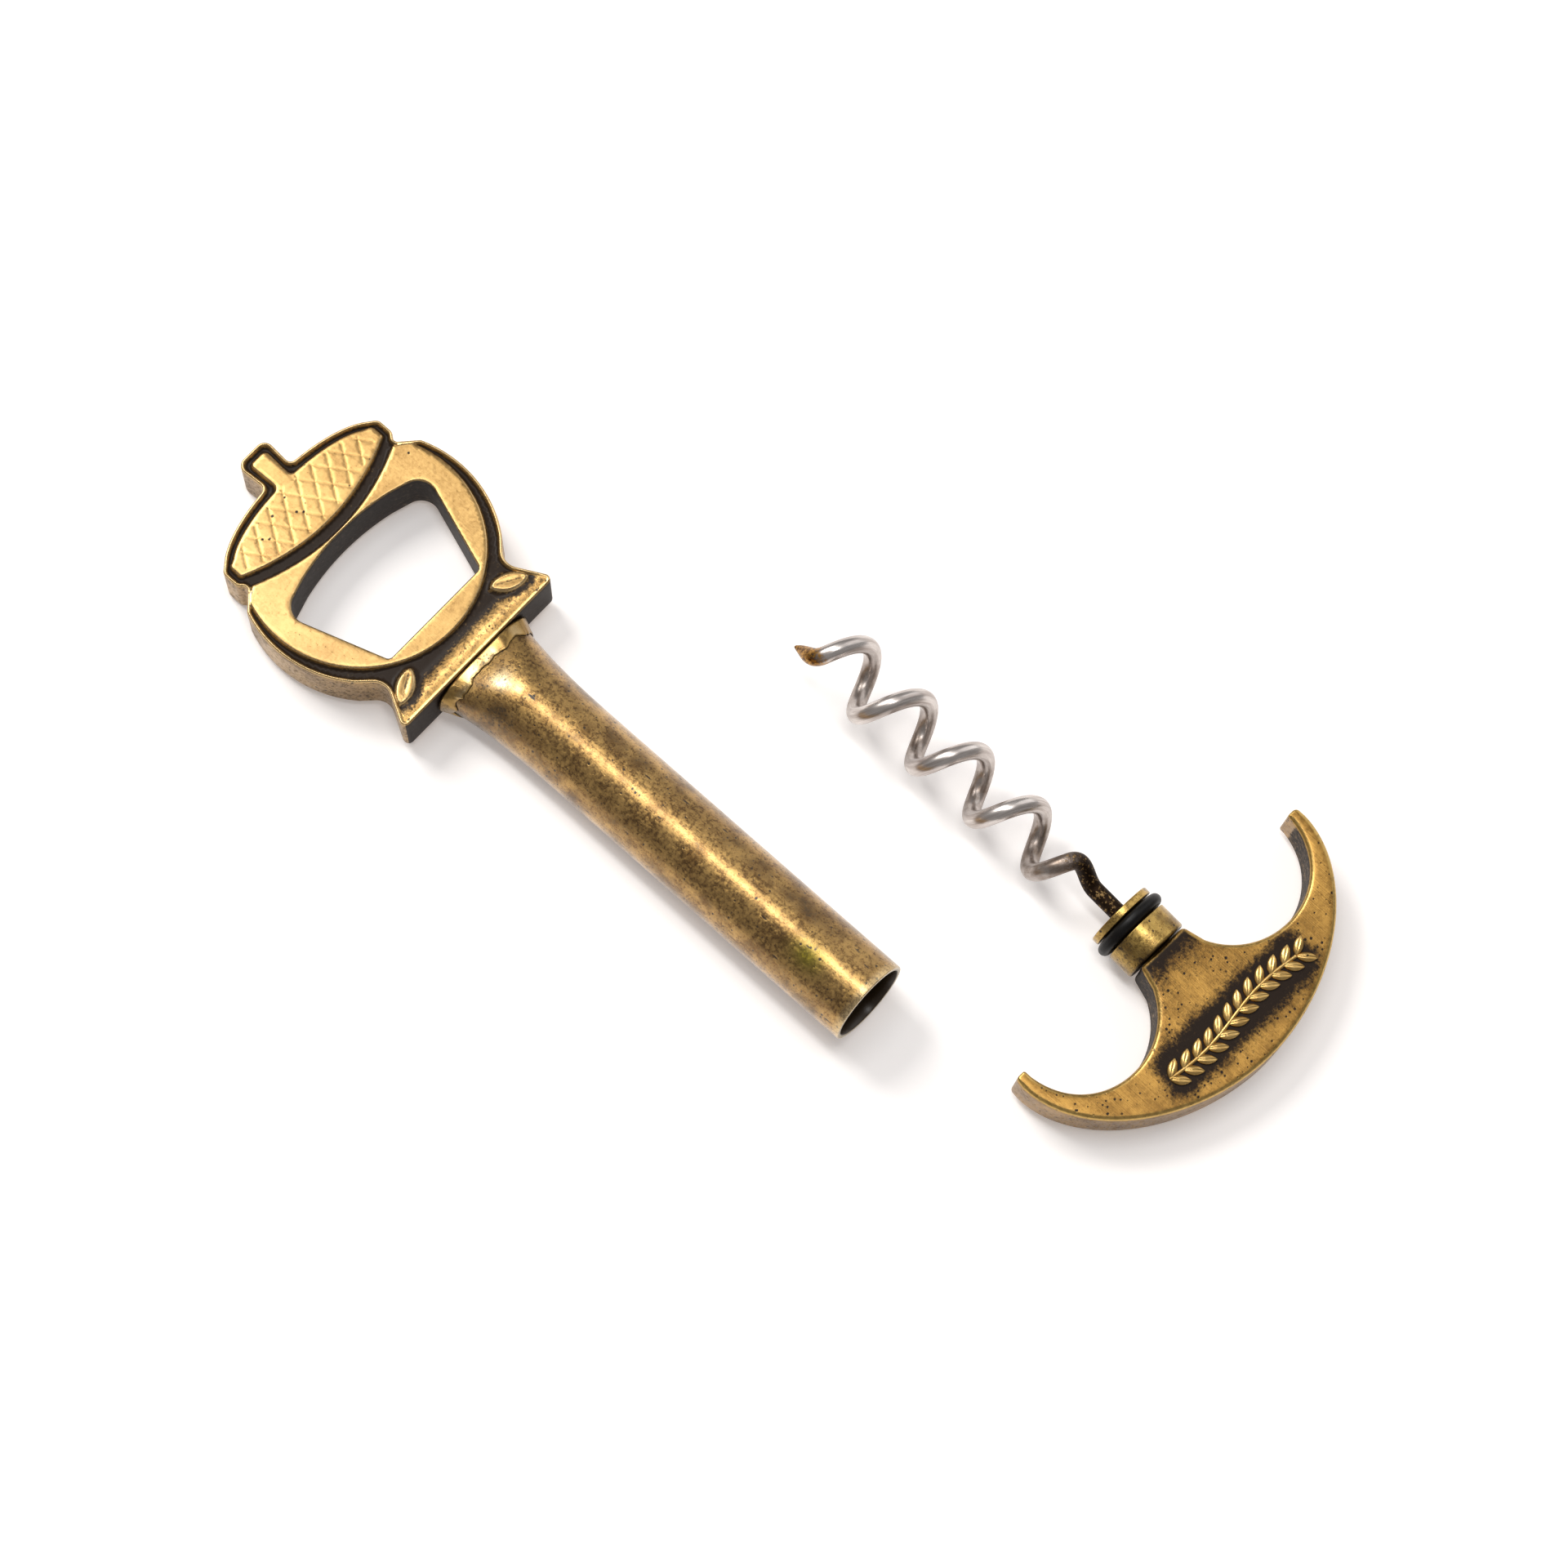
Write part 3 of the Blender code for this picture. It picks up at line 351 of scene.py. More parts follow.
# %% The wire's middle line
WIRE_DIA, WORM_PITCH, WORM_FIRST_TURN, WORM_LAST_TURN = 3.0 * MM, 12.735 * MM, -0.075, 3.995
WORM_TO_DISC, COIL_RADIUS, COIL_FLARE, WORM_ASIDE = 11.2 * MM, 4.25 * MM, 0.6 * MM, 0.22 * MM
WORM_LEAN, WORM_DROOP = math.tan(math.radians(2.55)), math.tan(math.radians(0.45))
SHANK_STRAIGHT, SHANK_SWING, SHANK_EASE, SHANK_INSET = 5.2 * MM, 3.2 * MM, 2.7 * MM, 5.6 * MM
TIP_STEP, TIP_EASE = Vector((5.0, 1.5, 4.3)) * MM, 2.6 * MM
TIP_BACK = Vector((0.9, 0.3, 0.3)).normalized()
TIP_LENGTH, TIP_FLAT, TIP_POWER = 5.2 * MM, 0.3 * MM, 0.75
STEPS_A_TURN, STEPS_A_BEND, SHANK_STEPS, WIRE_SIDES = 96, 30, 12, 32
SCALE_BEFORE_SHANK = 1.5 * MM
# The three shares: dirt everywhere, painted shade low on each turn, and dirt by the shank.
DIRT_AND_SHADE_SHARES, DIRT_REACH = (0.42, 0.30, 0.75), 6 * MM    # everywhere, low on a turn, by the shank


def coil_point(turn):
    """A place on the wire's middle line, by the turns counted from the top of the first crest."""
    left = WORM_LAST_TURN - turn
    x = -WORM_TO_DISC - WORM_PITCH * left
    radius = COIL_RADIUS + COIL_FLARE * left / WORM_LAST_TURN
    angle = 2 * math.pi * turn
    y = radius * math.sin(angle) - WORM_ASIDE + x * WORM_LEAN
    return Vector((x, y, radius * math.cos(angle) + x * WORM_DROOP))


def bend(start, leaving, meeting, end):
    """Points after start on a smooth bend to end, with its handles as vectors."""
    steps = [k / STEPS_A_BEND for k in range(1, STEPS_A_BEND + 1)]
    return [start * (1 - t) ** 2 * (1 + 2 * t) + leaving * 3 * (1 - t) ** 2 * t
            + end * t ** 2 * (3 - 2 * t) + meeting * 3 * (1 - t) * t ** 2 for t in steps]


turns = WORM_LAST_TURN - WORM_FIRST_TURN
count = round(turns * STEPS_A_TURN)
coil = [coil_point(WORM_FIRST_TURN + turns * k / count) for k in range(count + 1)]
into, out = (coil[0] - coil[1]).normalized(), (coil[-1] - coil[-2]).normalized()
tip = bend(coil[0], into * TIP_EASE, TIP_BACK * TIP_EASE, coil[0] - TIP_STEP)
shank = bend(coil[-1], out * SHANK_SWING, Vector((-SHANK_EASE, 0, 0)), Vector((-SHANK_STRAIGHT, 0, 0)))
shank += [Vector((-SHANK_STRAIGHT + (SHANK_STRAIGHT + SHANK_INSET) * k / SHANK_STEPS, 0, 0))
          for k in range(1, SHANK_STEPS + 1)]
wire = tip[::-1] + coil + shank
lengths = np.concatenate([[0], np.cumsum([(q - p).length for p, q in zip(wire, wire[1:])])])
SHANK_FROM = float(lengths[len(tip) + len(coil) - 1]) - SCALE_BEFORE_SHANK
print("wire:", len(wire), "points,", round(float(lengths[-1]) / MM, 1), "mm long")


# %% A chain of points as a mesh
def store(mesh, key, values):
    """Store one number at every point of a mesh."""
    mesh.attributes.new(key, 'FLOAT', 'POINT').data.foreach_set("value", np.asarray(values, np.float32))


def chain(name, points, **numbers):
    """Points joined by edges, with a number of each name stored at every point."""
    mesh = bpy.data.meshes.new(name)
    mesh.from_pydata([tuple(p) for p in points], [(i, i + 1) for i in range(len(points) - 1)], [])
    for key, values in numbers.items():
        store(mesh, key, values)
    item = bpy.data.objects.new(name, mesh)
    scene.collection.objects.link(item)
    return item


share = np.clip(lengths / TIP_LENGTH, 0, 1)
thick = (TIP_FLAT + (WIRE_DIA - TIP_FLAT) * np.sin(share * math.pi / 2) ** TIP_POWER) / WIRE_DIA
from_axis = np.array([p.z - p.x * WORM_DROOP for p in wire]) / COIL_RADIUS
everywhere, shade_when_low, by_shank = DIRT_AND_SHADE_SHARES
near_shank = np.exp(-np.maximum(SHANK_FROM - lengths, 0) / DIRT_REACH)
# Dirt everywhere and by the shank; the lower half of each turn is darkened as painted shade.
dirt = everywhere - shade_when_low * from_axis + by_shank * near_shank
worm_line = chain("worm_line", wire, thick=thick, along=lengths / MM, dirt=dirt)
print("thinnest wire in mm:", round(float(thick.min()) * WIRE_DIA / MM, 2))


# %% A tree that sweeps a round wire along a chain
def node_group(name, inputs):
    """A geometry tree with its group input, and one named input for each size."""
    tree = bpy.data.node_groups.new(name, 'GeometryNodeTree')
    tree.interface.new_socket("Geometry", in_out='INPUT', socket_type='NodeSocketGeometry')
    for key, kind in inputs.items():
        tree.interface.new_socket(key, in_out='INPUT', socket_type='NodeSocket' + kind)
    tree.interface.new_socket("Geometry", in_out='OUTPUT', socket_type='NodeSocketGeometry')
    return tree, add(tree, 'NodeGroupInput')


def dressed(tree, mesh, finish):
    """End a tree: smooth shading, real geometry in place of instances, and its finish."""
    smooth = add(tree, 'GeometryNodeSetShadeSmooth', {0: mesh}, 0)
    real = add(tree, 'GeometryNodeRealizeInstances', {0: smooth}, 0)
    done = add(tree, 'GeometryNodeSetMaterial', {"Geometry": real, "Material": finish}, 0)
    add(tree, 'NodeGroupOutput', {0: done})
    return tree


def wound_wire():
    """A tree that makes a chain of points a curve and sweeps a circle of the wire's size along it."""
    tree, given = node_group("wound_wire", {"Wire diameter": 'Float', "Sides": 'Int', "Finish": 'Material'})
    line = add(tree, 'GeometryNodeMeshToCurve', {0: given["Geometry"]}, 0)
    half = add(tree, SUM, (given["Wire diameter"], 0.5), 0, operation='MULTIPLY')
    circle = add(tree, 'GeometryNodeCurvePrimitiveCircle', {"Resolution": given["Sides"], "Radius": half}, 0)
    here = add(tree, 'GeometryNodeInputPosition', out=0)
    circle = add(tree, 'GeometryNodeStoreNamedAttribute',
                 {"Geometry": circle, "Name": "around", "Value": here}, 0, data_type='FLOAT_VECTOR')
    thick_here = add(tree, 'GeometryNodeInputNamedAttribute', {"Name": "thick"}, "Attribute")
    swept = add(tree, 'GeometryNodeCurveToMesh', {"Curve": line, "Profile Curve": circle, "Scale": thick_here,
                                                  "Fill Caps": True}, 0)
    return dressed(tree, swept, given["Finish"])


def grown(item, tree, place, **inputs):
    """Run a tree on an object and return the result as a plain mesh object, laid in its place."""
    modifier = item.modifiers.new(tree.name, 'NODES')
    modifier.node_group = tree
    sockets = {s.name: s.identifier for s in tree.interface.items_tree if s.in_out == 'INPUT'}
    for key, value in inputs.items():
        modifier[sockets[key.replace("_", " ").capitalize()]] = value
    graph = bpy.context.evaluated_depsgraph_get()
    mesh = bpy.data.meshes.new_from_object(item.evaluated_get(graph), depsgraph=graph)
    item.modifiers.clear()
    bpy.data.objects.remove(item)
    return placed(mesh, place)


WELD = 1e-7                                             # metres


def placed(mesh, place):
    """An object at the origin whose mesh is already where it belongs, with its faces outwards."""
    mesh.transform(place)
    bm = bmesh.new()
    bm.from_mesh(mesh)
    bmesh.ops.remove_doubles(bm, verts=bm.verts, dist=WELD)
    bmesh.ops.recalc_face_normals(bm, faces=bm.faces)
    bm.to_mesh(mesh)
    bm.free()
    item = bpy.data.objects.new(mesh.name, mesh)
    scene.collection.objects.link(item)
    return item


# %% Wind the worm
steel = bright_wire("bright_drawn_steel")
worm = grown(worm_line, wound_wire(), CORKSCREW, Wire_diameter=WIRE_DIA, Sides=WIRE_SIDES, Finish=steel)
worm.name = worm.data.name = "wound_worm"
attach(worm, "corkscrew")
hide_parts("worm")
print(worm.name, len(worm.data.polygons), "faces")

# %% [markdown]
# ## Outlines
# The head and the handle are flat castings, so their shapes are outlines: lists of corners, each
# with the radius that rounds it. They could be drawn as curves, but written out from the same sizes
# as the CAD's they fit its solids exactly, and finer steps make the rounds smooth.

# %% Corners and fillets
FILLET_STEP, ARC_STEP, STRAIGHT = 6.0, 1.5, 0.5         # degrees
ROOM_SHARE = 0.48


def round_turn(steps):
    """Evenly spaced angles of one full turn."""
    return [2 * math.pi * k / steps for k in range(steps)]


def filleted(corners, depth=0.0):
    """Points of a closed outline whose corners (x, y, radius) are rounded; depth moves it inwards."""
    if depth:
        corners = inset_corners(corners, depth)
    points = [Vector((x, y)) for x, y, r in corners]
    result = []
    for i, (x, y, r) in enumerate(corners):
        here = points[i]
        if not r:
            result.append(here)
            continue
        to_last, to_next = points[i - 1] - here, points[(i + 1) % len(points)] - here
        half = to_last.angle(to_next) / 2
        reach, room = r / math.tan(half), ROOM_SHARE * min(to_last.length, to_next.length)
        if reach > room:
            reach, r = room, room * math.tan(half)
        start, end = here + to_last.normalized() * reach, here + to_next.normalized() * reach
        middle = here + (to_last.normalized() + to_next.normalized()).normalized() * r / math.sin(half)
        steps = max(3, round(math.degrees(math.pi - 2 * half) / FILLET_STEP))
        a0 = math.atan2(start.y - middle.y, start.x - middle.x)
        a1 = math.atan2(end.y - middle.y, end.x - middle.x)
        sweep = (a1 - a0 + math.pi) % (2 * math.pi) - math.pi
        turns = [a0 + sweep * k / steps for k in range(steps + 1)]
        result += [middle + r * Vector((math.cos(a), math.sin(a))) for a in turns]
    return result


def inset_corners(corners, depth):
    """Every side of an anticlockwise outline moved inwards, and the fillets fitted to it."""
    points = [Vector((x, y)) for x, y, r in corners]
    result = []
    for i, (x, y, r) in enumerate(corners):
        u = (points[i] - points[i - 1]).normalized()
        v = (points[(i + 1) % len(points)] - points[i]).normalized()
        turn = u.x * v.y - u.y * v.x
        p, q = points[i] + Vector((-u.y, u.x)) * depth, points[i] + Vector((-v.y, v.x)) * depth
        if abs(turn) > math.sin(math.radians(STRAIGHT)):
            p = p + u * (((q.x - p.x) * v.y - (q.y - p.y) * v.x) / turn)
        if r:
            r = max(r - depth, depth / 4) if turn > 0 else r + depth
        result.append((p.x, p.y, r))
    return result


def refined(points, step, closed=True):
    """Points added on the long sides of an outline, so that none is longer than step."""
    result = []
    for i, here in enumerate(points if closed else points[:-1]):
        after = points[(i + 1) % len(points)]
        parts = max(1, math.ceil((after - here).length / step - 0.01))
        result += [here.lerp(after, k / parts) for k in range(parts)]
    return result if closed else result + [points[-1]]


def inwards(points):
    """Vectors into an anticlockwise outline at its points, lengthened to keep its sides parallel."""
    result = []
    for i, here in enumerate(points):
        u, v = (here - points[i - 1]).normalized(), (points[(i + 1) % len(points)] - here).normalized()
        along = (u + v).normalized()
        result.append(Vector((-along.y, along.x)) / along.dot(v))
    return result


def mirrored(half):
    """A closed outline from its half on the +Y side, given from -X to +X."""
    return [(x, -y, r) for x, y, r in half] + half[::-1]


def arc_points(radius, start, end, centre_x=-RING_TO_BASE):
    """Corners without a fillet on a circle round (centre_x, 0)."""
    steps = max(1, round(abs(end - start) / ARC_STEP))
    angles = [math.radians(start + (end - start) * k / steps) for k in range(steps + 1)]
    return [(centre_x + radius * math.cos(a), radius * math.sin(a), 0.0) for a in angles]


square = [(0, 0, 2), (10, 0, 2), (10, 10, 2), (0, 10, 2)]
print("a square of 10 with its corners rounded by 2 has", len(filleted(square)), "points")

# %% [markdown]
# ## Outlines of the head
# Seen from above, the head is an acorn: a ring with the opening for crown caps is its nut, the far end
# its cup and stem, and a flared base carries the tube. Its face has raised, polished islands with a
# sunk and blackened ground between them and a narrow border.

# %% Head outlines
HEAD_EDGE, RING_END, BASE_HALF, BASE_FILLET = 0.4 * MM, 111.0, 18.1 * MM, 1.0 * MM
WAIST_ANGLE, WAIST_EASE, WAIST_FILLET = 39.0, 13.0, 3.0 * MM
NOTCH_FILLET, CUP_FILLET = 1.0 * MM, 1.5 * MM
STEM_HALF, STEM_FILLET, STEM_ROOT_FILLET = 3.4 * MM, 1.7 * MM, 1.6 * MM
STEM_ROOT_SHARE, DOME_SHARE, DOME_STEPS = 0.88, 0.92, 16
LIP_TO_BASE, LIP_HALF, LIP_FILLET, LIP_TOOTH = 10.0 * MM, 10.65 * MM, 1.0 * MM, 0.5 * MM
OPENING_DEPTH, OPENING_HALF, OPENING_FILLET = 21.3 * MM, 16.7 * MM, 4.9 * MM
OPENING_CROWN, CROWN_SHARE, CROWN_STEPS = 3.2 * MM, 0.6, 12
FACE_MARGIN, RING_FACE_SHIFT, FACE_FILLET = 1.5 * MM, 1.4 * MM, 1.0 * MM
CUP_FACE_FILLET, BRIDGE = 2.4 * MM, 0.5 * MM
CHANNEL, CHANNEL_SAG, CHANNEL_SHARE, CHANNEL_STEPS = 2.1 * MM, 3.8 * MM, 0.97, 20
LEAF_LENGTH, LEAF_WIDTH, LEAF_POWER, LEAF_STEPS = 6.4 * MM, 3.0 * MM, 1.5, 40
LEAF_INSET, LEAF_TO_BASE, LEAF_ANGLE = 5.8 * MM, 5.0 * MM, 62.0
CUP_MIDDLE, OPENING_END = CUP_X - CUP_RIM / 2, -LIP_TO_BASE - OPENING_DEPTH


def cup_dome(half, rise, inner):
    """The cup's domed end from inner outwards, as a part of an ellipse."""
    across = [inner + (half * DOME_SHARE - inner) * k / DOME_STEPS for k in range(DOME_STEPS + 1)]
    return [(CUP_MIDDLE - rise * math.sqrt(1 - (y / half) ** 2), y, 0.0) for y in across]


def head_corners():
    """The head's outline: stem, cup, ring, waist and base."""
    crown = CUP_MIDDLE - CUP_RISE
    half = [(crown - STEM_LENGTH, STEM_HALF, STEM_FILLET)]
    half += [(crown, STEM_HALF * STEM_ROOT_SHARE, STEM_ROOT_FILLET)]
    half += cup_dome(CUP_Y, CUP_RISE, STEM_HALF + STEM_ROOT_FILLET)
    half += [(CUP_X - CUP_RIM, CUP_Y, CUP_FILLET), (CUP_X, CUP_Y, CUP_FILLET), (*NOTCH, NOTCH_FILLET)]
    half += arc_points(RING_RADIUS, RING_END, WAIST_ANGLE + WAIST_EASE)
    half += [(*on_ring(RING_RADIUS, WAIST_ANGLE), WAIST_FILLET), (0.0, BASE_HALF, BASE_FILLET)]
    return mirrored(half)


def opening_corners():
    """The opening for crown caps: a straight lip, slanting sides and a slightly crowned far end."""
    half = [(OPENING_END + OPENING_CROWN * (CROWN_SHARE * k / CROWN_STEPS) ** 2,
             OPENING_HALF * CROWN_SHARE * k / CROWN_STEPS, 0.0) for k in range(CROWN_STEPS + 1)]
    half += [(OPENING_END + OPENING_CROWN, OPENING_HALF, OPENING_FILLET)]
    half += [(-LIP_TO_BASE, LIP_HALF, LIP_FILLET)]
    return mirrored(half[1:]) + [half[0]]


def channel_corners(at_middle, half, fillet):
    """One bank of the curved channel between ring and cup, from the middle out to half."""
    full = NOTCH[1] * CHANNEL_SHARE
    across = [half * k / CHANNEL_STEPS for k in range(CHANNEL_STEPS + 1)]
    return [(at_middle - CHANNEL_SAG * (y / full) ** 2, y, fillet if y == half else 0.0) for y in across]


def ring_face_corners():
    """The island on the ring, from the channel round to the base."""
    centre, radius = -RING_TO_BASE - RING_FACE_SHIFT, RING_RADIUS - FACE_MARGIN
    upper = channel_corners(OPENING_END - BRIDGE, NOTCH[1] * CHANNEL_SHARE, FACE_FILLET / 2)
    turn = math.degrees(math.acos((upper[-1][0] - centre) / radius))
    rim = arc_points(radius, turn - 4 * ARC_STEP, 0.0, centre)
    half = upper[1:] + rim[:-1]
    return [rim[-1]] + mirrored(half)[len(half):] + [upper[0]] + mirrored(half)[:len(half)]


def cup_face_corners():
    """The island on the cup and the stem, a margin inside the outline."""
    wide, rise, stem = CUP_Y - FACE_MARGIN, CUP_RISE - FACE_MARGIN, STEM_HALF - FACE_MARGIN
    crown = CUP_MIDDLE - rise
    half = [(crown - STEM_LENGTH, stem, STEM_FILLET - FACE_MARGIN / 2)]
    half += [(crown, stem * STEM_ROOT_SHARE, STEM_ROOT_FILLET)]
    half += cup_dome(wide, rise, stem + STEM_ROOT_FILLET)
    lower = channel_corners(OPENING_END - BRIDGE - CHANNEL, wide, CUP_FACE_FILLET)
    half += [(CUP_X - CUP_RIM, wide, CUP_FACE_FILLET)] + lower[:0:-1]
    return mirrored(half)[:len(half)] + [lower[0]] + half[::-1]


def leaf_axis(side):
    """The middle of the leaf on one side of the base, and the direction in which it points."""
    angle = math.radians(LEAF_ANGLE) * side
    centre = Vector((-LEAF_TO_BASE, (BASE_HALF - LEAF_INSET) * side))
    return centre, Vector((math.cos(angle), math.sin(angle)))


def signed_power(value, power):
    """The power of a number's size, with the number's own sign."""
    return math.copysign(abs(value) ** power, value)


def leaf_outline(side, shrink=0.0):
    """A pointed leaf on one side of the base, smaller all round by shrink."""
    centre, along = leaf_axis(side)
    across = Vector((-along.y, along.x))
    return [centre + along * math.cos(t) * (LEAF_LENGTH / 2 - shrink)
            + across * signed_power(math.sin(t), LEAF_POWER) * (LEAF_WIDTH / 2 - shrink)
            for t in round_turn(LEAF_STEPS)]


print("corners of the head:", len(head_corners()), "and of its opening:", len(opening_corners()))

# %% [markdown]
# ## A casting from outlines
# The face of a casting needs points where its relief bends and enough points between them to carry
# the patina. A grid would step along the slanting edges. A constrained Delaunay net keeps every
# outline as an edge and fills the rest with an even triangle pattern; each point is then lifted to its
# height. The rounded edges and the walls are rings of the outline that join the face to the back.


# %% Distances from outlines
BATCH = 2000


def to_array(points):
    """Points as rows of x and y."""
    return np.array([(p[0], p[1]) for p in points], float)


def inside(points, loop):
    """Distance of each point from a closed outline, positive inside it."""
    a = to_array(loop)
    b = np.roll(a, -1, axis=0)
    result = np.empty(len(points))
    for first in range(0, len(points), BATCH):
        p = points[first:first + BATCH, None, :]
        side = b - a
        t = np.clip(((p - a) * side).sum(2) / (side ** 2).sum(1), 0, 1)
        near = np.sqrt(((p - a - t[..., None] * side) ** 2).sum(2).min(1))
        above = (a[:, 1] > p[..., 1]) != (b[:, 1] > p[..., 1])
        rise = np.where(b[:, 1] == a[:, 1], 1.0, b[:, 1] - a[:, 1])
        left = p[..., 0] < a[:, 0] + (p[..., 1] - a[:, 1]) * side[:, 0] / rise
        result[first:first + BATCH] = np.where((above & left).sum(1) % 2 == 1, near, -near)
    return result


def eased(value, low, high):
    """From 0 at low to 1 at high, without a kink at either end."""
    t = np.clip((value - low) / (high - low), 0, 1)
    return t * t * (3 - 2 * t)


# %% The net that fills a face
ROW_SHARE, FROM_EDGE_SHARE, FROM_POINT_SHARE = 0.866, 0.5, 0.55


def net(loops, creases, step):
    """Triangles inside the first loop and outside the others; returns points, faces and loop places."""
    places, edges, closed = [], [], []
    for points, shut in [(loop, True) for loop in loops] + creases:
        first = len(places)
        places += points
        edges += [(first + i, first + i + 1) for i in range(len(points) - 1)]
        if shut:
            edges.append((len(places) - 1, first))
        closed.append(range(first, len(places)))
    tree = KDTree(len(places))
    for i, p in enumerate(places):
        tree.insert((p[0], p[1], 0), i)
    tree.balance()
    low, high = to_array(loops[0]).min(0), to_array(loops[0]).max(0)
    rows = int((high[1] - low[1]) / (step * ROW_SHARE)) + 1
    columns = int((high[0] - low[0]) / step) + 2
    grid = np.array([(low[0] + (c + 0.5 * (r % 2)) * step, low[1] + r * step * ROW_SHARE)
                     for r in range(rows) for c in range(columns)])
    keep = inside(grid, loops[0]) > step * FROM_EDGE_SHARE
    for loop in loops[1:]:
        keep &= inside(grid, loop) < -step * FROM_EDGE_SHARE
    fill = [Vector(g) for g in grid[keep] if tree.find((g[0], g[1], 0))[2] > step * FROM_POINT_SHARE]
    corners = [Vector(p) for p in places] + fill
    points, _, faces, origins, _, _ = delaunay_2d_cdt(corners, edges, [], 0, 1e-8)
    where = {old: new for new, olds in enumerate(origins) for old in olds}
    points = to_array(points)
    middles = np.array([points[f].mean(0) for f in faces])
    good = inside(middles, loops[0]) > 0
    for loop in loops[1:]:
        good &= inside(middles, loop) < 0
    return points, [f for f, g in zip(faces, good) if g], [[where[i] for i in c] for c in closed[:len(loops)]]


# %% Points and faces of a brass piece
def skin_layers(bm):
    """The two numbers at every point of a brass piece: its patina, and its wear with painted highlights."""
    return [bm.verts.layers.float.new(key) for key in ("patina", "wear_and_highlight")]


def put(bm, layers, place, patina, wear_and_highlight):
    """Add one point with its two numbers."""
    vert = bm.verts.new(place)
    vert[layers[0]], vert[layers[1]] = patina, wear_and_highlight
    return vert


def band(bm, first, second):
    """Faces between two closed rings of points."""
    for i in range(len(first)):
        bm.faces.new((first[i - 1], first[i], second[i], second[i - 1]))


def smooth_mesh(name, bm):
    """The finished mesh, smooth and with its faces outwards."""
    bmesh.ops.recalc_face_normals(bm, faces=bm.faces)
    mesh = bpy.data.meshes.new(name)
    bm.to_mesh(mesh)
    bm.free()
    mesh.shade_smooth()
    return mesh


# %% Build a casting
ROUND_STEPS, WALL_SHARES, BACK_COARSER = 4, (0.33, 0.0, -0.33), 3


def casting(name, outline, holes, thick, edge, hole_edge, creases, relief, step, wall):
    """relief(points) gives depth, patina, and wear with painted highlights;
    wall(p, z, is_hole) a wall point's shift and patina.
    """
    bm = bmesh.new()
    layers = skin_layers(bm)
    outlines = [(outline, inwards(outline), edge, False)]
    outlines += [(hole, [-n for n in inwards(hole)], hole_edge, True) for hole in holes]

    def face(side, step_here):
        """The top for side 1, with its relief, or the plain back for side -1; returns its rims."""
        rims = [[p + n * size(p) for p, n in zip(points, normals)] for points, normals, size, _ in outlines]
        points, faces, rings = net(rims, creases if side > 0 else [], step_here)
        drop, patina, wear_and_highlight = relief(points) if side > 0 else (np.zeros(len(points)),) * 3
        verts = [put(bm, layers, (p[0], p[1], side * (thick / 2 - d)), s, w)
                 for p, d, s, w in zip(points, drop, patina, wear_and_highlight)]
        for f in faces:
            bm.faces.new([verts[i] for i in f])
        return [[verts[i] for i in ring] for ring in rings]

    front, back = face(1, step), face(-1, step * BACK_COARSER)
    rounds = [math.pi / 2 * k / ROUND_STEPS for k in range(1, ROUND_STEPS + 1)]
    levels = [(1, turn) for turn in rounds] + [(0, share) for share in WALL_SHARES]
    levels += [(-1, turn) for turn in rounds[::-1]]
    for (points, normals, size, is_hole), top_ring, back_ring in zip(outlines, front, back):
        rings = [top_ring]
        for side, level in levels:
            ring = []
            for p, n in zip(points, normals):
                s = size(p)
                if side:
                    place = p + n * s * (1 - math.sin(level))
                    z, bright = side * (thick / 2 - s * (1 - math.cos(level))), math.sin(2 * level)
                else:
                    place, z, bright = p, level * (thick - 2 * s), 0.0
                shift, patina = wall(p, z, is_hole)
                ring.append(put(bm, layers, (place.x + shift, place.y, z), patina * (1 - bright),
                                bright * (1 - patina / 2)))
            rings.append(ring)
        rings.append(back_ring)
        for first, second in zip(rings, rings[1:]):
            band(bm, first, second)
    return smooth_mesh(name, bm)


print("ready to cast")

# %% [markdown]
# ## The head's relief
# The islands stand 0.9 mm above the ground with a rounded shoulder. The cup carries the scales of an
# acorn as a lattice of fine grooves, and each leaf a vein. Patina collects at the foot of every
# shoulder and in the narrow channels. Towards the tube the ground rises to the edge, and the patina
# thins out there, where fingers rub it.

# %% Lattice of the cup
RELIEF, BORDER, SHOULDER, DRAFT, STEP = 0.9 * MM, 0.25 * MM, 0.4 * MM, 0.15 * MM, 0.5 * MM
SCALE_PITCH, SCALE_LEAN, GROOVE, GROOVE_DEPTH = 2.8 * MM, math.radians(34.0), 0.5 * MM, 0.045 * MM
GROOVES_EACH_WAY, SAMPLES_EACH_WAY, SAMPLE_MM, SHORT_RUN = 12, 120, 0.25, 6
CUP_MARGIN, STEM_MARGIN = 0.9 * MM, 0.6 * MM
ring_face, cup_face = filleted(ring_face_corners()), filleted(cup_face_corners())
leaves = [leaf_outline(1), leaf_outline(-1)]
cup_root = CUP_MIDDLE - CUP_RISE + FACE_MARGIN


def lattice_lines():
    """Both families of grooves as straight lines, cut off inside the cup's face."""
    lines = []
    for side in (1, -1):
        u = Vector((math.cos(SCALE_LEAN), side * math.sin(SCALE_LEAN)))
        v = Vector((-u.y, u.x))
        for k in range(-GROOVES_EACH_WAY, GROOVES_EACH_WAY + 1):
            for offset in (-GROOVE / 2, 0.0, GROOVE / 2):
                origin = Vector((CUP_X - CUP_RIM, 0)) + v * (k * SCALE_PITCH + offset)
                samples = [origin + u * t * SAMPLE_MM * MM
                           for t in range(-SAMPLES_EACH_WAY, SAMPLES_EACH_WAY + 1)]
                good = inside(to_array(samples), cup_face) > CUP_MARGIN
                good &= np.array([p.x > cup_root + STEM_MARGIN for p in samples])
                run = [p for p, g in zip(samples, good) if g]
                if len(run) > SHORT_RUN:
                    lines.append((run, offset))
    return lines


lattice = lattice_lines()
grooves = [run for run, offset in lattice if offset == 0.0]
print("grooves of the cup:", len(grooves))


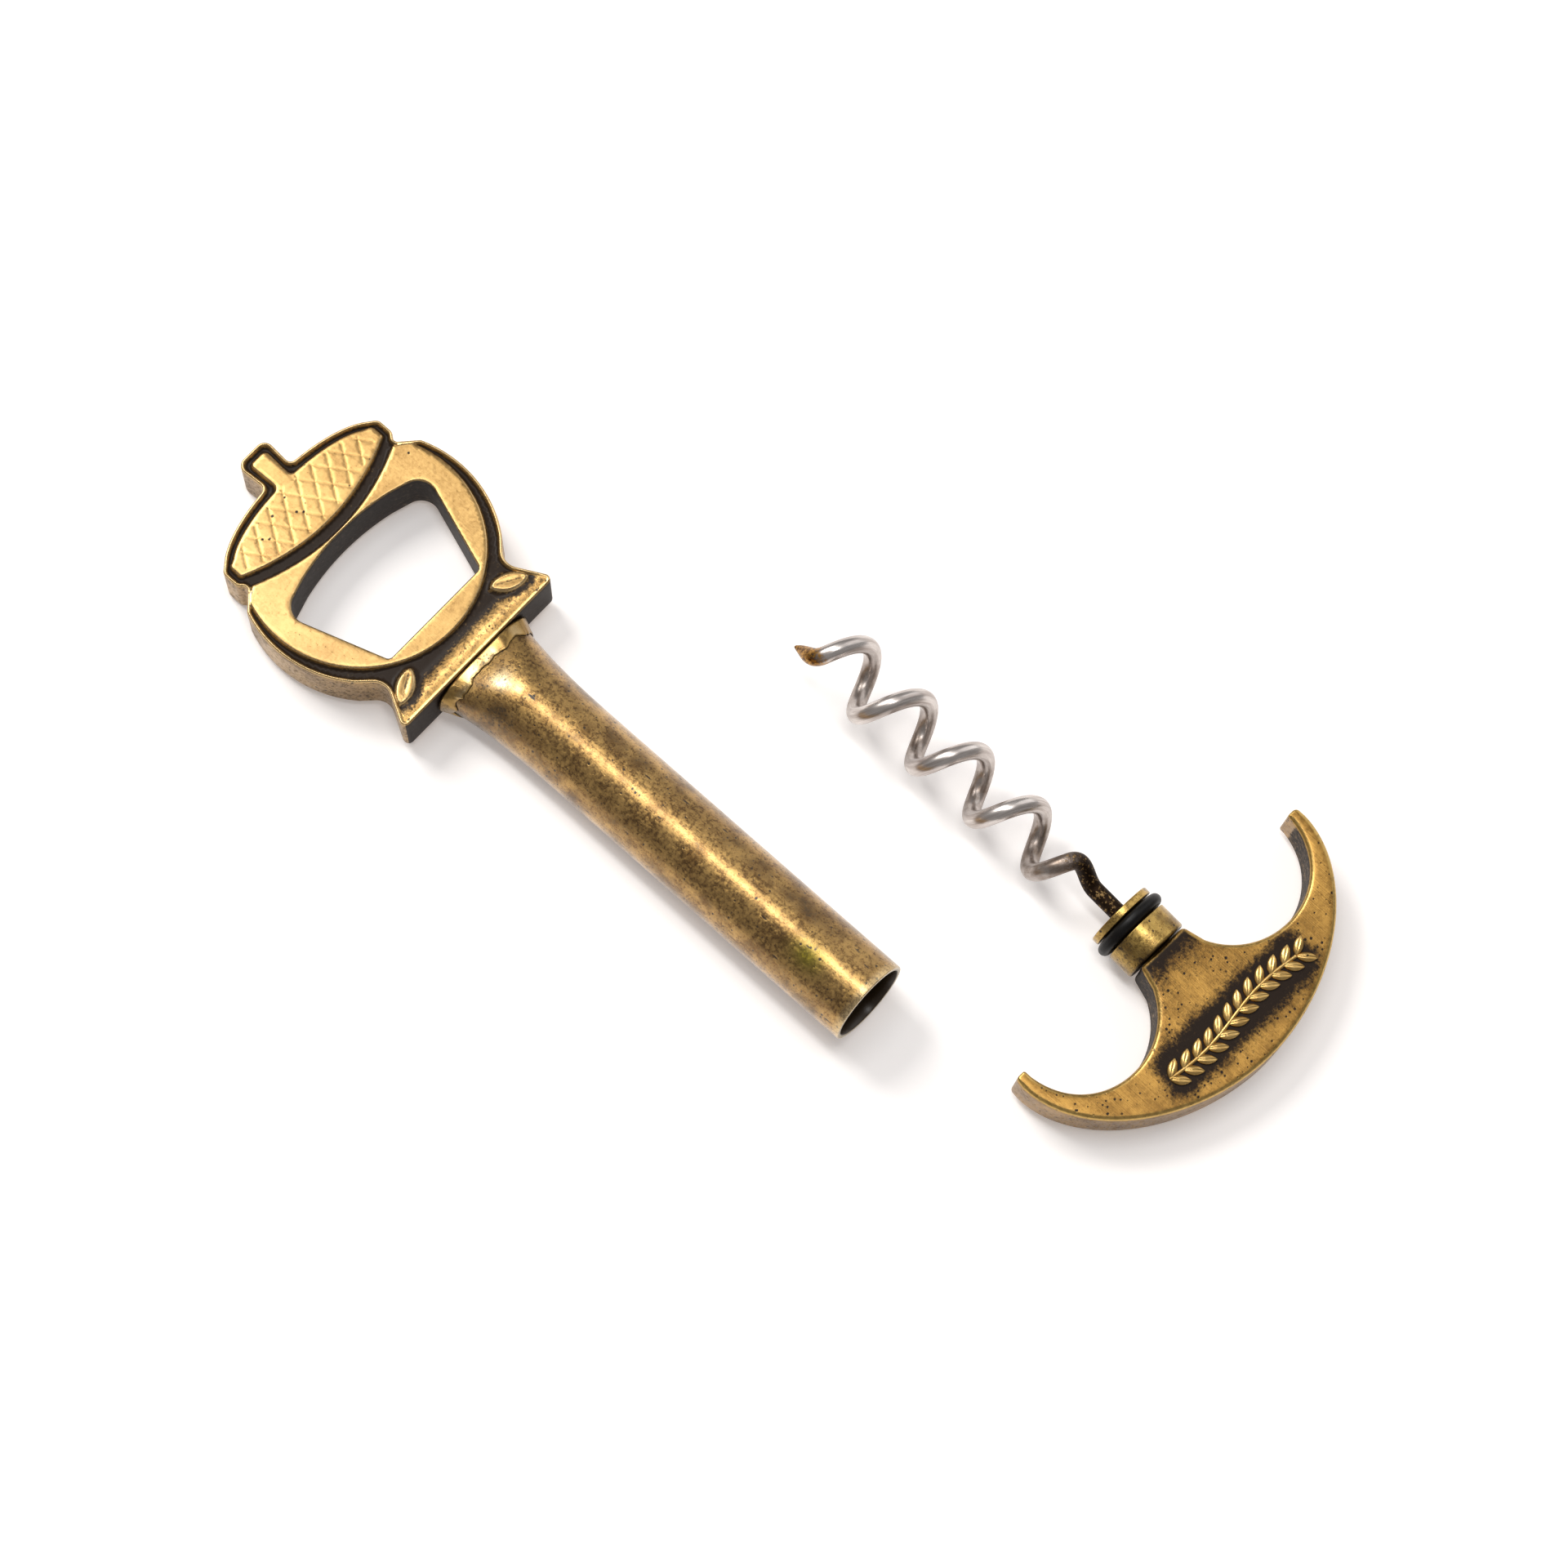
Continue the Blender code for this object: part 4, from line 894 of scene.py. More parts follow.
# %% Height, patina and wear of the head's face
LEAF_SPREAD, LIFT_POWER, FOOT_SHARE = 0.1 * MM, 2.4, 0.3
VEIN_HALF, VEIN_DEPTH, VEIN_REACH_SHARE = 0.3 * MM, 0.2 * MM, 0.36
GROOVE_PATINA_SHARE, VEIN_PATINA_SHARE = 0.22, 0.7
BASE_RAMP, RAMP_SHARES, RAMP_HEIGHT_SHARE = 4.2 * MM, (-1.2, -0.35), 0.85
BARED_SHARES, BARED_MARGIN, BARED_SKIN_SHARE = (-1.25, -0.6), (0.3 * MM, 1.8 * MM), 0.66
WEAR_AT_SHARE, WEAR_WIDTH_SHARE, ISLAND_WEAR_SHARE, BORDER_WEAR_SHARE = 0.66, 0.2, 0.75, 0.45
# The top share and reach set a painted highlight on the island tops, growing towards -Y.
TOP_SHARE, TOP_HIGHLIGHT_SHARE, TOP_HIGHLIGHT_REACH = 0.98, 0.15, (-6 * MM, 22 * MM)
NEAR, LIP_ROUND = 0.3 * MM, 1.3 * MM
BASE_END_PATINA, OUTSIDE_PATINA, OPENING_PATINA = 1.4, 0.42, 0.95
FACE_CREASES = (-DRAFT, 0.03 * MM, 0.2 * MM, SHOULDER)
LEAF_CREASES, BORDER_CREASES = (-0.15 * MM, 0.15 * MM, 0.45 * MM), (-0.02 * MM, DRAFT)


def line_distance(points, lines):
    """Distance of each point from the nearest of many straight runs."""
    result = np.full(len(points), 1.0)
    for run in lines:
        a, b = to_array([run[0]])[0], to_array([run[-1]])[0]
        t = np.clip(((points - a) @ (b - a)) / ((b - a) @ (b - a)), 0, 1)
        result = np.minimum(result, np.hypot(*(points - a - t[:, None] * (b - a)).T))
    return result


def veins():
    """The middle line of each leaf, as its two ends."""
    return [[centre + along * LEAF_LENGTH * VEIN_REACH_SHARE * t for t in (-1, 1)]
            for centre, along in (leaf_axis(1), leaf_axis(-1))]


def head_relief(points):
    """Depth below the top, patina, and wear with a painted highlight at points of the head's face."""
    rim = inside(points, head_outline)
    in_leaves = [inside(points, leaf) for leaf in leaves]
    in_faces = [inside(points, face) for face in (ring_face, cup_face)]
    island = np.max(in_faces + [distance + LEAF_SPREAD for distance in in_leaves], 0)
    border = HEAD_EDGE + BORDER - rim
    t = np.clip((np.maximum(island, border) + DRAFT) / (DRAFT + SHOULDER), 0, 1)
    lift = 1 - (1 - t) ** LIFT_POWER
    lift = np.where(t < FOOT_SHARE, lift * eased(t, -0.05, FOOT_SHARE), lift)
    groove = np.clip(1 - line_distance(points, grooves) / (GROOVE / 2), 0, 1)
    vein = np.clip(1 - line_distance(points, veins()) / VEIN_HALF, 0, 1)
    on_leaf = np.max(in_leaves, 0) > 0
    cut = np.maximum(groove * GROOVE_DEPTH, vein * VEIN_DEPTH * on_leaf)
    ramp = eased(points[:, 0], *(BASE_RAMP * share for share in RAMP_SHARES)) * RAMP_HEIGHT_SHARE
    bared = eased(points[:, 0], *(BASE_RAMP * share for share in BARED_SHARES))
    bared = bared * eased(-island, *BARED_MARGIN)
    patina = (1 - lift) * (1.0 - BARED_SKIN_SHARE * bared)
    low = np.maximum(groove * GROOVE_PATINA_SHARE, vein * on_leaf * VEIN_PATINA_SHARE)
    patina = np.maximum(patina, low)
    wear_and_highlight = np.exp(-((t - WEAR_AT_SHARE) / WEAR_WIDTH_SHARE) ** 2) * (1 - groove)
    wear_and_highlight = wear_and_highlight * np.where(island > border, ISLAND_WEAR_SHARE, BORDER_WEAR_SHARE)
    # Island tops are painted lighter towards -Y: a painted highlight for the way the light falls across the
    # head.
    rubbed_and_highlit = TOP_HIGHLIGHT_SHARE * eased(-points[:, 1], *TOP_HIGHLIGHT_REACH) * (t > TOP_SHARE) * (island > 0)
    wear_and_highlight = np.maximum(wear_and_highlight, rubbed_and_highlit * (1 - groove))
    return RELIEF * (1 - np.maximum(lift, ramp)) + cut, np.clip(patina, 0, 1), np.clip(wear_and_highlight, 0, 1)


def head_wall(p, z, is_hole):
    """The lip's lower half stands proud; the opening's walls keep most of their skin."""
    if not is_hole:
        return 0.0, BASE_END_PATINA if p.x > -NEAR else OUTSIDE_PATINA
    at_lip = p.x > -LIP_TO_BASE - NEAR and abs(p.y) < LIP_HALF - LIP_ROUND
    return (-LIP_TOOTH if at_lip and z < -HEAD_EDGE else 0.0), OPENING_PATINA


head_outline = refined(filleted(head_corners()), STEP)
opening = refined(filleted(opening_corners()), STEP)
creases = [(refined(filleted(corners, depth), STEP), True)
           for corners in (ring_face_corners(), cup_face_corners()) for depth in FACE_CREASES]
print("outline points:", len(head_outline), len(opening))

# %% Cast the head
HOLE_EDGE, GROOVE_STEP, CREASE_MARGIN = 0.35 * MM, 0.3 * MM, 0.12 * MM


def clear_of(lines, margin):
    """Creases only where they stay on the face: inside the outline and outside the opening."""
    kept = []
    rim = [p + n * HEAD_EDGE for p, n in zip(head_outline, inwards(head_outline))]
    hole = [p - n * HOLE_EDGE for p, n in zip(opening, inwards(opening))]
    for points, shut in lines:
        spots = to_array(points)
        good = (inside(spots, rim) > margin) & (inside(spots, hole) < -margin)
        if good.all():
            kept.append((points, shut))
            continue
        run = []
        order = list(range(len(points))) * (2 if shut else 1)
        start = next((i for i in range(len(points)) if not good[i]), 0) if shut else 0
        for i in order[start:start + len(points)]:
            if good[i]:
                run.append(points[i])
            else:
                if len(run) > 1:
                    kept.append((run, False))
                run = []
        if len(run) > 1:
            kept.append((run, False))
    return kept


creases += [(leaf_outline(side, shrink), True) for side in (1, -1) for shrink in LEAF_CREASES]
border_line = [p + n * (HEAD_EDGE + BORDER) for p, n in zip(head_outline, inwards(head_outline))]
creases += [([p + n * d for p, n in zip(border_line, inwards(border_line))], True)
            for d in BORDER_CREASES]
creases += [(refined(run, GROOVE_STEP, closed=False), False) for run, _ in lattice]
creases = clear_of(creases, CREASE_MARGIN)
head_mesh = casting("cast_head", head_outline, [opening], HEAD_THICK, lambda p: HEAD_EDGE,
                    lambda p: HOLE_EDGE, creases, head_relief, STEP, head_wall)
head = placed(head_mesh, HEAD)
head.data.materials.append(head_brass)
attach(head, "opener")
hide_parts("opener_head")
print(head.name, len(head.data.polygons), "faces")

# %% [markdown]
# ## The sheath tube
# A thin brass tube, drawn round and then squeezed flat and wide where the head joins it. A lathe
# would keep it round, so it is a stack of superellipses: the power grows from 2, a circle, to almost 3
# where it is pressed. The wall has its real thickness, and the mouth's edge is slightly broken.

# %% Sections of the tube
SPREAD_LENGTH, SPREAD_POWER, PRESSED_WIDTH, PRESSED_HEIGHT = 26.0 * MM, 3.0, 18.8 * MM, 8.2 * MM
PRESS_POWER, SECTION_POWER, TUBE_SIDES, MOUTH_EDGE = 1.3, 2.9, 144, 0.15 * MM
STATIONS_EACH, STATION_POWER = 40, 1.4
MOUTH_ROUND = ((0.9, MOUTH_EDGE * 0.4), (math.pi / 2, MOUTH_EDGE), (math.pi / 2, TUBE_WALL - MOUTH_EDGE),
               (0.9, TUBE_WALL - MOUTH_EDGE * 0.4))     # radians round the edge, depth in the wall


def on_tube(x, angle, out):
    """A point at a distance out from the tube's outside."""
    left = x + SHEATH_LENGTH
    spread = max(0.0, 1 - left / SPREAD_LENGTH) ** SPREAD_POWER
    pressed = max(0.0, 1 - left / PRESSED_LENGTH) ** PRESS_POWER
    radius = TUBE_DIA / 2
    wide = radius + (PRESSED_WIDTH / 2 - radius) * spread
    high = radius + (PRESSED_HEIGHT / 2 - radius) * pressed
    power = 2 + (SECTION_POWER - 2) * pressed
    y = wide * signed_power(math.cos(angle), 2 / power)
    z = high * signed_power(math.sin(angle), 2 / power)
    across = Vector((signed_power(y / wide, power - 1) / wide, signed_power(z / high, power - 1) / high))
    across.normalize()
    return Vector((x, y + out * across.x, z + out * across.y))


def lofted(name, rings, closed, patina, wear_and_highlight):
    """Faces between rings of points; closed joins the last ring to the first, else the ends are capped."""
    bm = bmesh.new()
    layers = skin_layers(bm)
    loops = [[put(bm, layers, p, patina(r, k, p), wear_and_highlight(r, k, p)) for k, p in enumerate(ring)]
             for r, ring in enumerate(rings)]
    for r in range(len(loops) if closed else len(loops) - 1):
        band(bm, loops[r], loops[(r + 1) % len(loops)])
    if not closed:
        bm.faces.new(loops[0])
        bm.faces.new(loops[-1])
    return smooth_mesh(name, bm)


angles = [2 * math.pi * (k + 0.5) / TUBE_SIDES for k in range(TUBE_SIDES)]
end = GAP - SHEATH_LENGTH
stations = [end + (SPREAD_LENGTH - GAP) * (k / STATIONS_EACH) ** STATION_POWER
            for k in range(STATIONS_EACH + 1)]
stations += [stations[-1] + (-MOUTH_EDGE - stations[-1]) * k / STATIONS_EACH
             for k in range(1, STATIONS_EACH + 1)]
outer = [[on_tube(x, a, 0.0) for a in angles] for x in stations]
inner = [[on_tube(x, a, -TUBE_WALL) for a in angles] for x in stations]
lip = [[on_tube(-MOUTH_EDGE * (1 - math.sin(t)), a, -d) for a in angles] for t, d in MOUTH_ROUND]
tube_rings = outer + lip + inner[::-1]
print("rings of the tube:", len(tube_rings))


# %% Draw the tube
# Each spot: millimetres from the head, degrees from the top, its two sizes in the same units, strength.
BLOTCHES = ((10, -46, 4, 22, 0.4), (17, 12, 6, 14, 0.12), (30, 30, 12, 16, 0.12),
            (40, -44, 9, 12, 0.15), (56, 26, 12, 14, 0.12), (74, 26, 5, 12, 0.12))
# The shoulder spot is a painted highlight where the tube turns from flat to round; the green spot is
# verdigris.
SHOULDER_PAINTED_HIGHLIGHT, GREEN_STAIN = (6.3, -8, 1.5, 9, 0.7), (74.5, -20, 3.0, 15, 0.85)
TUBE_SKIN_SHARE, UNDER_SHARE, CLOUD_SHARE, CLOUD_SIZE = 0.26, 0.15, 0.2, 8 * MM
CLOUD_ACROSS, HEAD_DARK_REACH, HEAD_DARK_SHARES = 1.5, 2.8 * MM, (0.5, 0.4)   # above, and more below
MOUTH_WEAR_SHARE = 0.4


def spot(x, turn, x_mm, at, long_mm, wide, strength):
    """A soft spot on the tube at x_mm from the head and at a turn from the top, in degrees."""
    from_head = (x + SHEATH_LENGTH) / MM
    return strength * math.exp(-((from_head - x_mm) / long_mm) ** 2 - ((turn - at) / wide) ** 2)


def turn_from_top(k):
    """The turn of the k-th point of a section, in degrees from the top."""
    return 90 - math.degrees(angles[k]) % 360


def tube_patina(r, k, p):
    """Mostly half rubbed back; dark by the head, in blotches, and inside."""
    if r >= len(outer) + 2:
        return 1.0
    under = 0.5 - 0.5 * math.sin(angles[k])
    cloud = noise.noise(Vector((p[0], p[1] * CLOUD_ACROSS, p[2] * CLOUD_ACROSS)) / CLOUD_SIZE)
    spots = sum(spot(p[0], turn_from_top(k), *numbers) for numbers in BLOTCHES)
    above, more_below = HEAD_DARK_SHARES
    near_head = math.exp(-(p[0] + SHEATH_LENGTH) / HEAD_DARK_REACH) * (above + more_below * under)
    skin = TUBE_SKIN_SHARE + cloud * CLOUD_SHARE + spots + near_head + UNDER_SHARE * under
    return max(0.0, min(1.0, skin))


def tube_wear_and_highlight(r, k, p):
    """Bright mouth edge from wear; a painted highlight on the shoulder, where flat turns to round."""
    if r >= len(outer) - 1:
        return MOUTH_WEAR_SHARE if r < len(outer) + 3 else 0.0
    return spot(p[0], turn_from_top(k), *SHOULDER_PAINTED_HIGHLIGHT)


tube_mesh = lofted("drawn_tube", tube_rings, True, tube_patina, tube_wear_and_highlight)
store(tube_mesh, "stain", [spot(v.co.x, math.degrees(math.atan2(v.co.y, v.co.z)), *GREEN_STAIN)
                           for v in tube_mesh.vertices])
tube = placed(tube_mesh, OPENER)
tube.data.materials.append(drawn_brass)
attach(tube, "opener")
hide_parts("sheath_tube")
print(tube.name, len(tube.data.polygons), "faces")

# %% [markdown]
# ## The brazed joint
# Tube and head are joined by brazing metal that ran round the joint and froze in lumps, glossier than
# the brass beside it, with a black line where it ends on the tube. It follows the tube's section at a
# small distance; a few long waves and some noise make its height and its edge uneven.

# %% Run the braze round the joint
BEAD_HEIGHT, BEAD_WIDTH, BEAD_SIDES, BEAD_STEPS = 0.6 * MM, 2.6 * MM, 14, 240
BEAD_LUMPS = ((2, 0.2, 0.6), (5, 0.1, 2.1), (9, 0.04, 4.0))      # waves, their share and their phase
BEAD_EDGE, BEAD_FLOOR, BEAD_SKIN = 0.28 * MM, 0.05 * MM, 0.06 * MM
RAGGED_SHARE, FRAYED_SHARE, WIDEST_SHARE, WRINKLE_SHARE = 0.45, 0.12, 1.2, 0.15
BEAD_POWER, EDGE_POWER, NOISE_LEVEL = 1.1, 8, 0.4
BEAD_PATINA, BEAD_CLOUDS, BEAD_CLOUD_SIZE = 0.16, 0.3, 3 * MM
BEAD_WEAR, BEAD_WEAR_SIZE = 0.5, 4 * MM

start = -SHEATH_LENGTH + GAP
bead_rings = []
for angle in round_turn(BEAD_STEPS):
    lump = 1 + sum(share * math.sin(waves * angle + phase) for waves, share, phase in BEAD_LUMPS)
    here = Vector((math.cos(angle), math.sin(angle), NOISE_LEVEL))
    ragged = 1 + RAGGED_SHARE * noise.noise(here * 3) + FRAYED_SHARE * noise.noise(here * 11)
    height, width = BEAD_HEIGHT * lump, BEAD_WIDTH * (lump + 1) / 2 * min(ragged, WIDEST_SHARE)
    ring = [on_tube(start + width, angle, BEAD_FLOOR), on_tube(start, angle, BEAD_FLOOR)]
    for j in range(BEAD_SIDES):
        u = math.sin(math.pi / 2 * j / (BEAD_SIDES - 1))
        wrinkle = 1 + WRINKLE_SHARE * noise.noise(here * 5 + Vector((0, 0, 2 * u)))
        rise = height * wrinkle * (1 - u) ** BEAD_POWER + BEAD_EDGE * max(0.0, 1 - u ** EDGE_POWER) ** 0.5
        ring.append(on_tube(start + width * u, angle, BEAD_SKIN + rise))
    bead_rings.append(ring)


def bead_patina(r, k, p):
    """Black underneath and in the line at its end, thin elsewhere."""
    if k < 2 or k >= BEAD_SIDES:
        return 1.0
    return BEAD_PATINA + BEAD_CLOUDS * noise.noise(p / BEAD_CLOUD_SIZE)


def bead_worn(r, k, p):
    """Rubbed in patches on its back, not at its edges."""
    on_back = 3 < k < BEAD_SIDES - 2
    return max(0.0, BEAD_WEAR * noise.noise(p / BEAD_WEAR_SIZE)) if on_back else 0.0


bead = placed(lofted("brazed_bead", bead_rings, True, bead_patina, bead_worn), OPENER)
bead.data.materials.append(braze_brass)
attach(bead, "opener")
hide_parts("braze_bead")
print(bead.name, len(bead.data.polygons), "faces")

# %% [markdown]
# ## Plug and rubber ring
# The plug is turned from bar: a disc, a groove for the rubber ring, and a body that closes the
# sheath. Both are surfaces of revolution, so one profile spun round the axis makes each of them.

# %% Turn the plug
PLUG_DIA, PLUG_CHAMFER, PLUG_EDGE, RING_SECTION = 12.0 * MM, 0.5 * MM, 0.3 * MM, 2.1 * MM
SPIGOT_DIA, SPIGOT_LENGTH, LATHE_SIDES = 6.0 * MM, 7.0 * MM, 128
BORE_ROOM, ON_AXIS, PROFILE_STEPS = 0.05 * MM, 0.01 * MM, 4
PLUG_SIDE_SHARE, PLUG_GROOVE_PATINA = 0.95, 0.9
BORE_PATINA, BORE_RIM_PATINA, BORE_FADE, PAST_FACE = 0.3, 0.4, 1.0 * MM, 0.1 * MM
REAR_PATINA, REAR_FADE, FRONT_PATINA, FRONT_FADE = 0.5, 0.6 * MM, 0.35, 0.5 * MM
SCORCH_PATINA, SCORCH_TURN, SCORCH_WIDTH = 0.3, -48, 22          # the last two in degrees
PLUG_PATINA, PLUG_CLOUDS, PLUG_CLOUD_SIZE = 0.04, 0.3, 2.5 * MM
PLUG_CLOUDS_FROM = Vector((3.1, 0.4, 1.2))


def nowhere(r, k, p):
    """No patina, or no wear, at any point."""
    return 0.0


def turned(name, profile, patina):
    """Spin a profile of (x, radius) round the X axis and cap its ends."""
    turns = round_turn(LATHE_SIDES)
    rings = [[Vector((x, r * math.cos(a), r * math.sin(a))) for a in turns] for x, r in profile]
    return lofted(name, rings, False, patina, nowhere)


def rounded_profile(corners):
    """A profile with small rounds at corners (x, radius, round)."""
    result = []
    for i, (x, y, r) in enumerate(corners):
        here = Vector((x, y))
        if not r:
            result.append((x, y))
            continue
        a = here + (Vector(corners[i - 1][:2]) - here).normalized() * r
        b = here + (Vector(corners[i + 1][:2]) - here).normalized() * r
        for k in range(PROFILE_STEPS + 1):
            t = k / PROFILE_STEPS
            p = a.lerp(here, t).lerp(here.lerp(b, t), t)
            result.append((p.x, p.y))
    return result


front, radius = DISC_THICK + GROOVE_WIDTH, PLUG_DIA / 2
rear = front + PLUG_BODY
groove = O_RING_DIA / 2 - RING_SECTION - GAP
bore = WIRE_DIA / 2 + BORE_ROOM
hole_end, spigot_end = SHANK_INSET + GAP, rear + SPIGOT_LENGTH
plug_corners = [
    (hole_end, ON_AXIS, 0), (hole_end, bore, 0), (0.0, bore, 0), (0.0, radius, PLUG_EDGE),
    (DISC_THICK, radius, PLUG_EDGE / 2), (DISC_THICK, groove, 0), (front, groove, 0),
    (front, radius, PLUG_EDGE / 2), (rear, radius, PLUG_CHAMFER), (rear, SPIGOT_DIA / 2, 0),
    (spigot_end, SPIGOT_DIA / 2, 0), (spigot_end, ON_AXIS, 0)]


def plug_patina(r, k, p):
    """Black in the groove, dark by the rear edge and the groove, scorched on one side, and blotched."""
    out_of_axis = math.hypot(p.y, p.z)
    if out_of_axis < radius * PLUG_SIDE_SHARE:
        if p.x > PAST_FACE:
            return PLUG_GROOVE_PATINA
        return BORE_PATINA + BORE_RIM_PATINA * math.exp(-(out_of_axis - bore) / BORE_FADE)
    dark = REAR_PATINA * math.exp(-abs(rear - p.x) / REAR_FADE)
    dark += FRONT_PATINA * math.exp(-abs(p.x - front) / FRONT_FADE)
    turn = math.degrees(math.atan2(p.y, p.z))
    scorch = SCORCH_PATINA * math.exp(-((turn - SCORCH_TURN) / SCORCH_WIDTH) ** 2)
    clouds = noise.noise(p / PLUG_CLOUD_SIZE + PLUG_CLOUDS_FROM)
    return PLUG_PATINA + dark + scorch + PLUG_CLOUDS * clouds


plug = placed(turned("turned_plug", rounded_profile(plug_corners), plug_patina), CORKSCREW)
plug.data.materials.append(turned_brass)
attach(plug, "corkscrew")
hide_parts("plug")
print(plug.name, len(plug.data.polygons), "faces")

# %% [markdown]
# ## Moulded rubber
# The ring is moulded nitrile rubber: almost black, softly glossy, with a faint bloom that lightens it
# in clouds. Rubber is not a metal, so its colour is very dark and its gloss comes from the surface.


# %% The rubber finish and its ring
BLOOM_SIZE, BLOOM_DEPTH, SECTION_SIDES = 1.2 * MM, 0.03 * MM, 32


def moulded_rubber(name):
    """Black rubber with a bloom that lightens and dulls it in clouds."""
    mat, tree, shader = new_material(name)
    place = add(tree, PLACE, out="Object")
    bloom = add(tree, NOISE, {0: place, "Scale": 1 / BLOOM_SIZE, "Detail": 5.0, "Roughness": 0.6}, 0)
    colour = add(tree, BLEND, {0: bloom, 6: "050404", 7: "0F0D0B"}, 2, data_type='RGBA')
    tree.links.new(colour, shader["Base Color"])
    tree.links.new(add(tree, RANGE, (bloom, 0.3, 0.7, 0.36, 0.5), 0), shader["Roughness"])
    shader["Specular IOR Level"].default_value = 0.2
    bump = add(tree, 'ShaderNodeBump', {"Strength": 0.3, "Distance": BLOOM_DEPTH, "Height": bloom}, 0)
    tree.links.new(bump, shader["Normal"])
    return mat


ring_radius, half = (O_RING_DIA - RING_SECTION) / 2, RING_SECTION / 2
ring_rings = []
for a in round_turn(SECTION_SIDES):
    x, out = ring_at + half * math.cos(a), ring_radius + half * math.sin(a)
    ring_rings.append([Vector((x, out * math.cos(t), out * math.sin(t))) for t in round_turn(LATHE_SIDES)])
rubber_ring = placed(lofted("rubber_ring", ring_rings, True, nowhere, nowhere), CORKSCREW)
rubber_ring.data.materials.append(moulded_rubber("moulded_nitrile_rubber"))
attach(rubber_ring, "corkscrew")
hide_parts("o_ring")
print(rubber_ring.name, len(rubber_ring.data.polygons), "faces")

# %% [markdown]
# ## The handle
# The handle is cast in the shape of an anchor's arms, for two fingers, with its neck against the plug.
# It is a flat casting like the head. A long patch of its face keeps its black skin, as the ground of
# the ornament, and so does the neck where the polishing wheel cannot reach.

# %% Handle outline
HANDLE_EDGE, HANDLE_STEP, NECK_HALF, NECK_FILLET = 0.8 * MM, 0.6 * MM, 4.9 * MM, 1.0 * MM
NECK_SWELL, NECK_EASE = 0.3 * MM, 9.0
ARM_HALF, ARM_BACK, ARM_POWER, ARM_STEPS = 32.6 * MM, 9.9 * MM, 1.88, 78
FINGER_RADIUS, FINGER_X, FINGER_Y, FINGER_STEPS = 13.2 * MM, 7.2 * MM, 17.8 * MM, 60
HORN_X, HORN_FILLET, HORN_TAPER, HORN_EDGE_SHARE = 8.0 * MM, 0.9 * MM, 0.2 * MM, 0.22
HORN_SWELL, SWELL_POWER = 0.55 * MM, 4.0
horn_in = FINGER_Y + math.sqrt((FINGER_RADIUS - HORN_SWELL) ** 2 - (HORN_X - FINGER_X) ** 2)
horn_out = ARM_HALF - HORN_TAPER


def handle_corners():
    """The handle's outline: neck, arcs for two fingers, horns and the long outer side."""
    low_turn = -math.degrees(math.asin((FINGER_Y - NECK_HALF - NECK_SWELL) / FINGER_RADIUS)) + NECK_EASE
    high_turn = math.degrees(math.acos((HORN_X + HORN_FILLET - FINGER_X) / FINGER_RADIUS))
    turns = [math.radians(low_turn + (high_turn - low_turn) * k / FINGER_STEPS)
             for k in range(FINGER_STEPS + 1)]
    reaches = [FINGER_RADIUS - HORN_SWELL * max(0.0, math.sin(a)) ** SWELL_POWER for a in turns]
    finger = [(FINGER_X + r * math.cos(a), FINGER_Y + r * math.sin(a), 0.0) for a, r in zip(turns, reaches)]
    turns = [math.pi / 2 * (1 - k / ARM_STEPS) for k in range(ARM_STEPS + 1)]
    outside = [(ARM_BACK + (ARM_REACH - ARM_BACK) * math.cos(a) ** (2 / ARM_POWER),
                ARM_HALF * math.sin(a) ** (2 / ARM_POWER), 0.0) for a in turns]
    half = [(rear + GAP, NECK_HALF, NECK_FILLET)] + finger
    half += [(HORN_X, horn_in, HORN_FILLET), (HORN_X, horn_out, HORN_FILLET)] + outside[:-1]
    return [(x, -y, r) for x, y, r in half] + [outside[-1]] + half[::-1]


def handle_edge(p):
    """The radius of the rounded edge, less on the horns, which are narrow."""
    if abs(p.y) < FINGER_Y:
        return HANDLE_EDGE
    return min(HANDLE_EDGE, (horn_out - horn_in + p.x - HORN_X) * HORN_EDGE_SHARE)


handle_outline = refined(filleted(handle_corners()), HANDLE_STEP)
print("points of the handle's outline:", len(handle_outline))

# %% Cast the handle
PATCH_X, PATCH_Y, PATCH_HALF_X, PATCH_HALF_Y = 25.2 * MM, 1.0 * MM, 1.5 * MM, 13.8 * MM
PATCH_SHARE, PATCH_FADE, PATCH_POWER = 1.15, 3.0 * MM, 1.7
NECK_SHARE, NECK_FADE, NECK_ACROSS = 0.85, 2.4 * MM, 12 * MM
VEIL_SHARE, VEIL_FADE, VEIL_ACROSS, HANDLE_SKIN_SHARE = 0.24, 9 * MM, 14 * MM, 0.12
DARK_MARGIN, PLUG_MARGIN = 2 * MM, 0.8 * MM
NECK_END_PATINA, HIDDEN_PATINA, HANDLED_PATINA = 1.6, 0.8, 0.3


def handle_relief(points):
    """A flat face: only the patina of the ornament's ground, the neck and the outline change."""
    x, y = points[:, 0], points[:, 1]
    away = np.hypot(np.maximum(np.abs(x - PATCH_X) - PATCH_HALF_X, 0),
                    np.maximum(np.abs(y - PATCH_Y) - PATCH_HALF_Y, 0))
    patch = PATCH_SHARE * np.exp(-(away / PATCH_FADE) ** PATCH_POWER)
    neck = np.exp(-np.maximum(x - rear - GAP, 0) / NECK_FADE - (y / NECK_ACROSS) ** 4)
    veil = VEIL_SHARE * np.exp(-((x - rear) / VEIL_FADE) ** 2 - (y / VEIL_ACROSS) ** 4)
    patina = np.maximum(patch, neck * NECK_SHARE) + veil
    return np.zeros(len(points)), np.clip(patina + HANDLE_SKIN_SHARE, 0, 1), np.zeros(len(points))


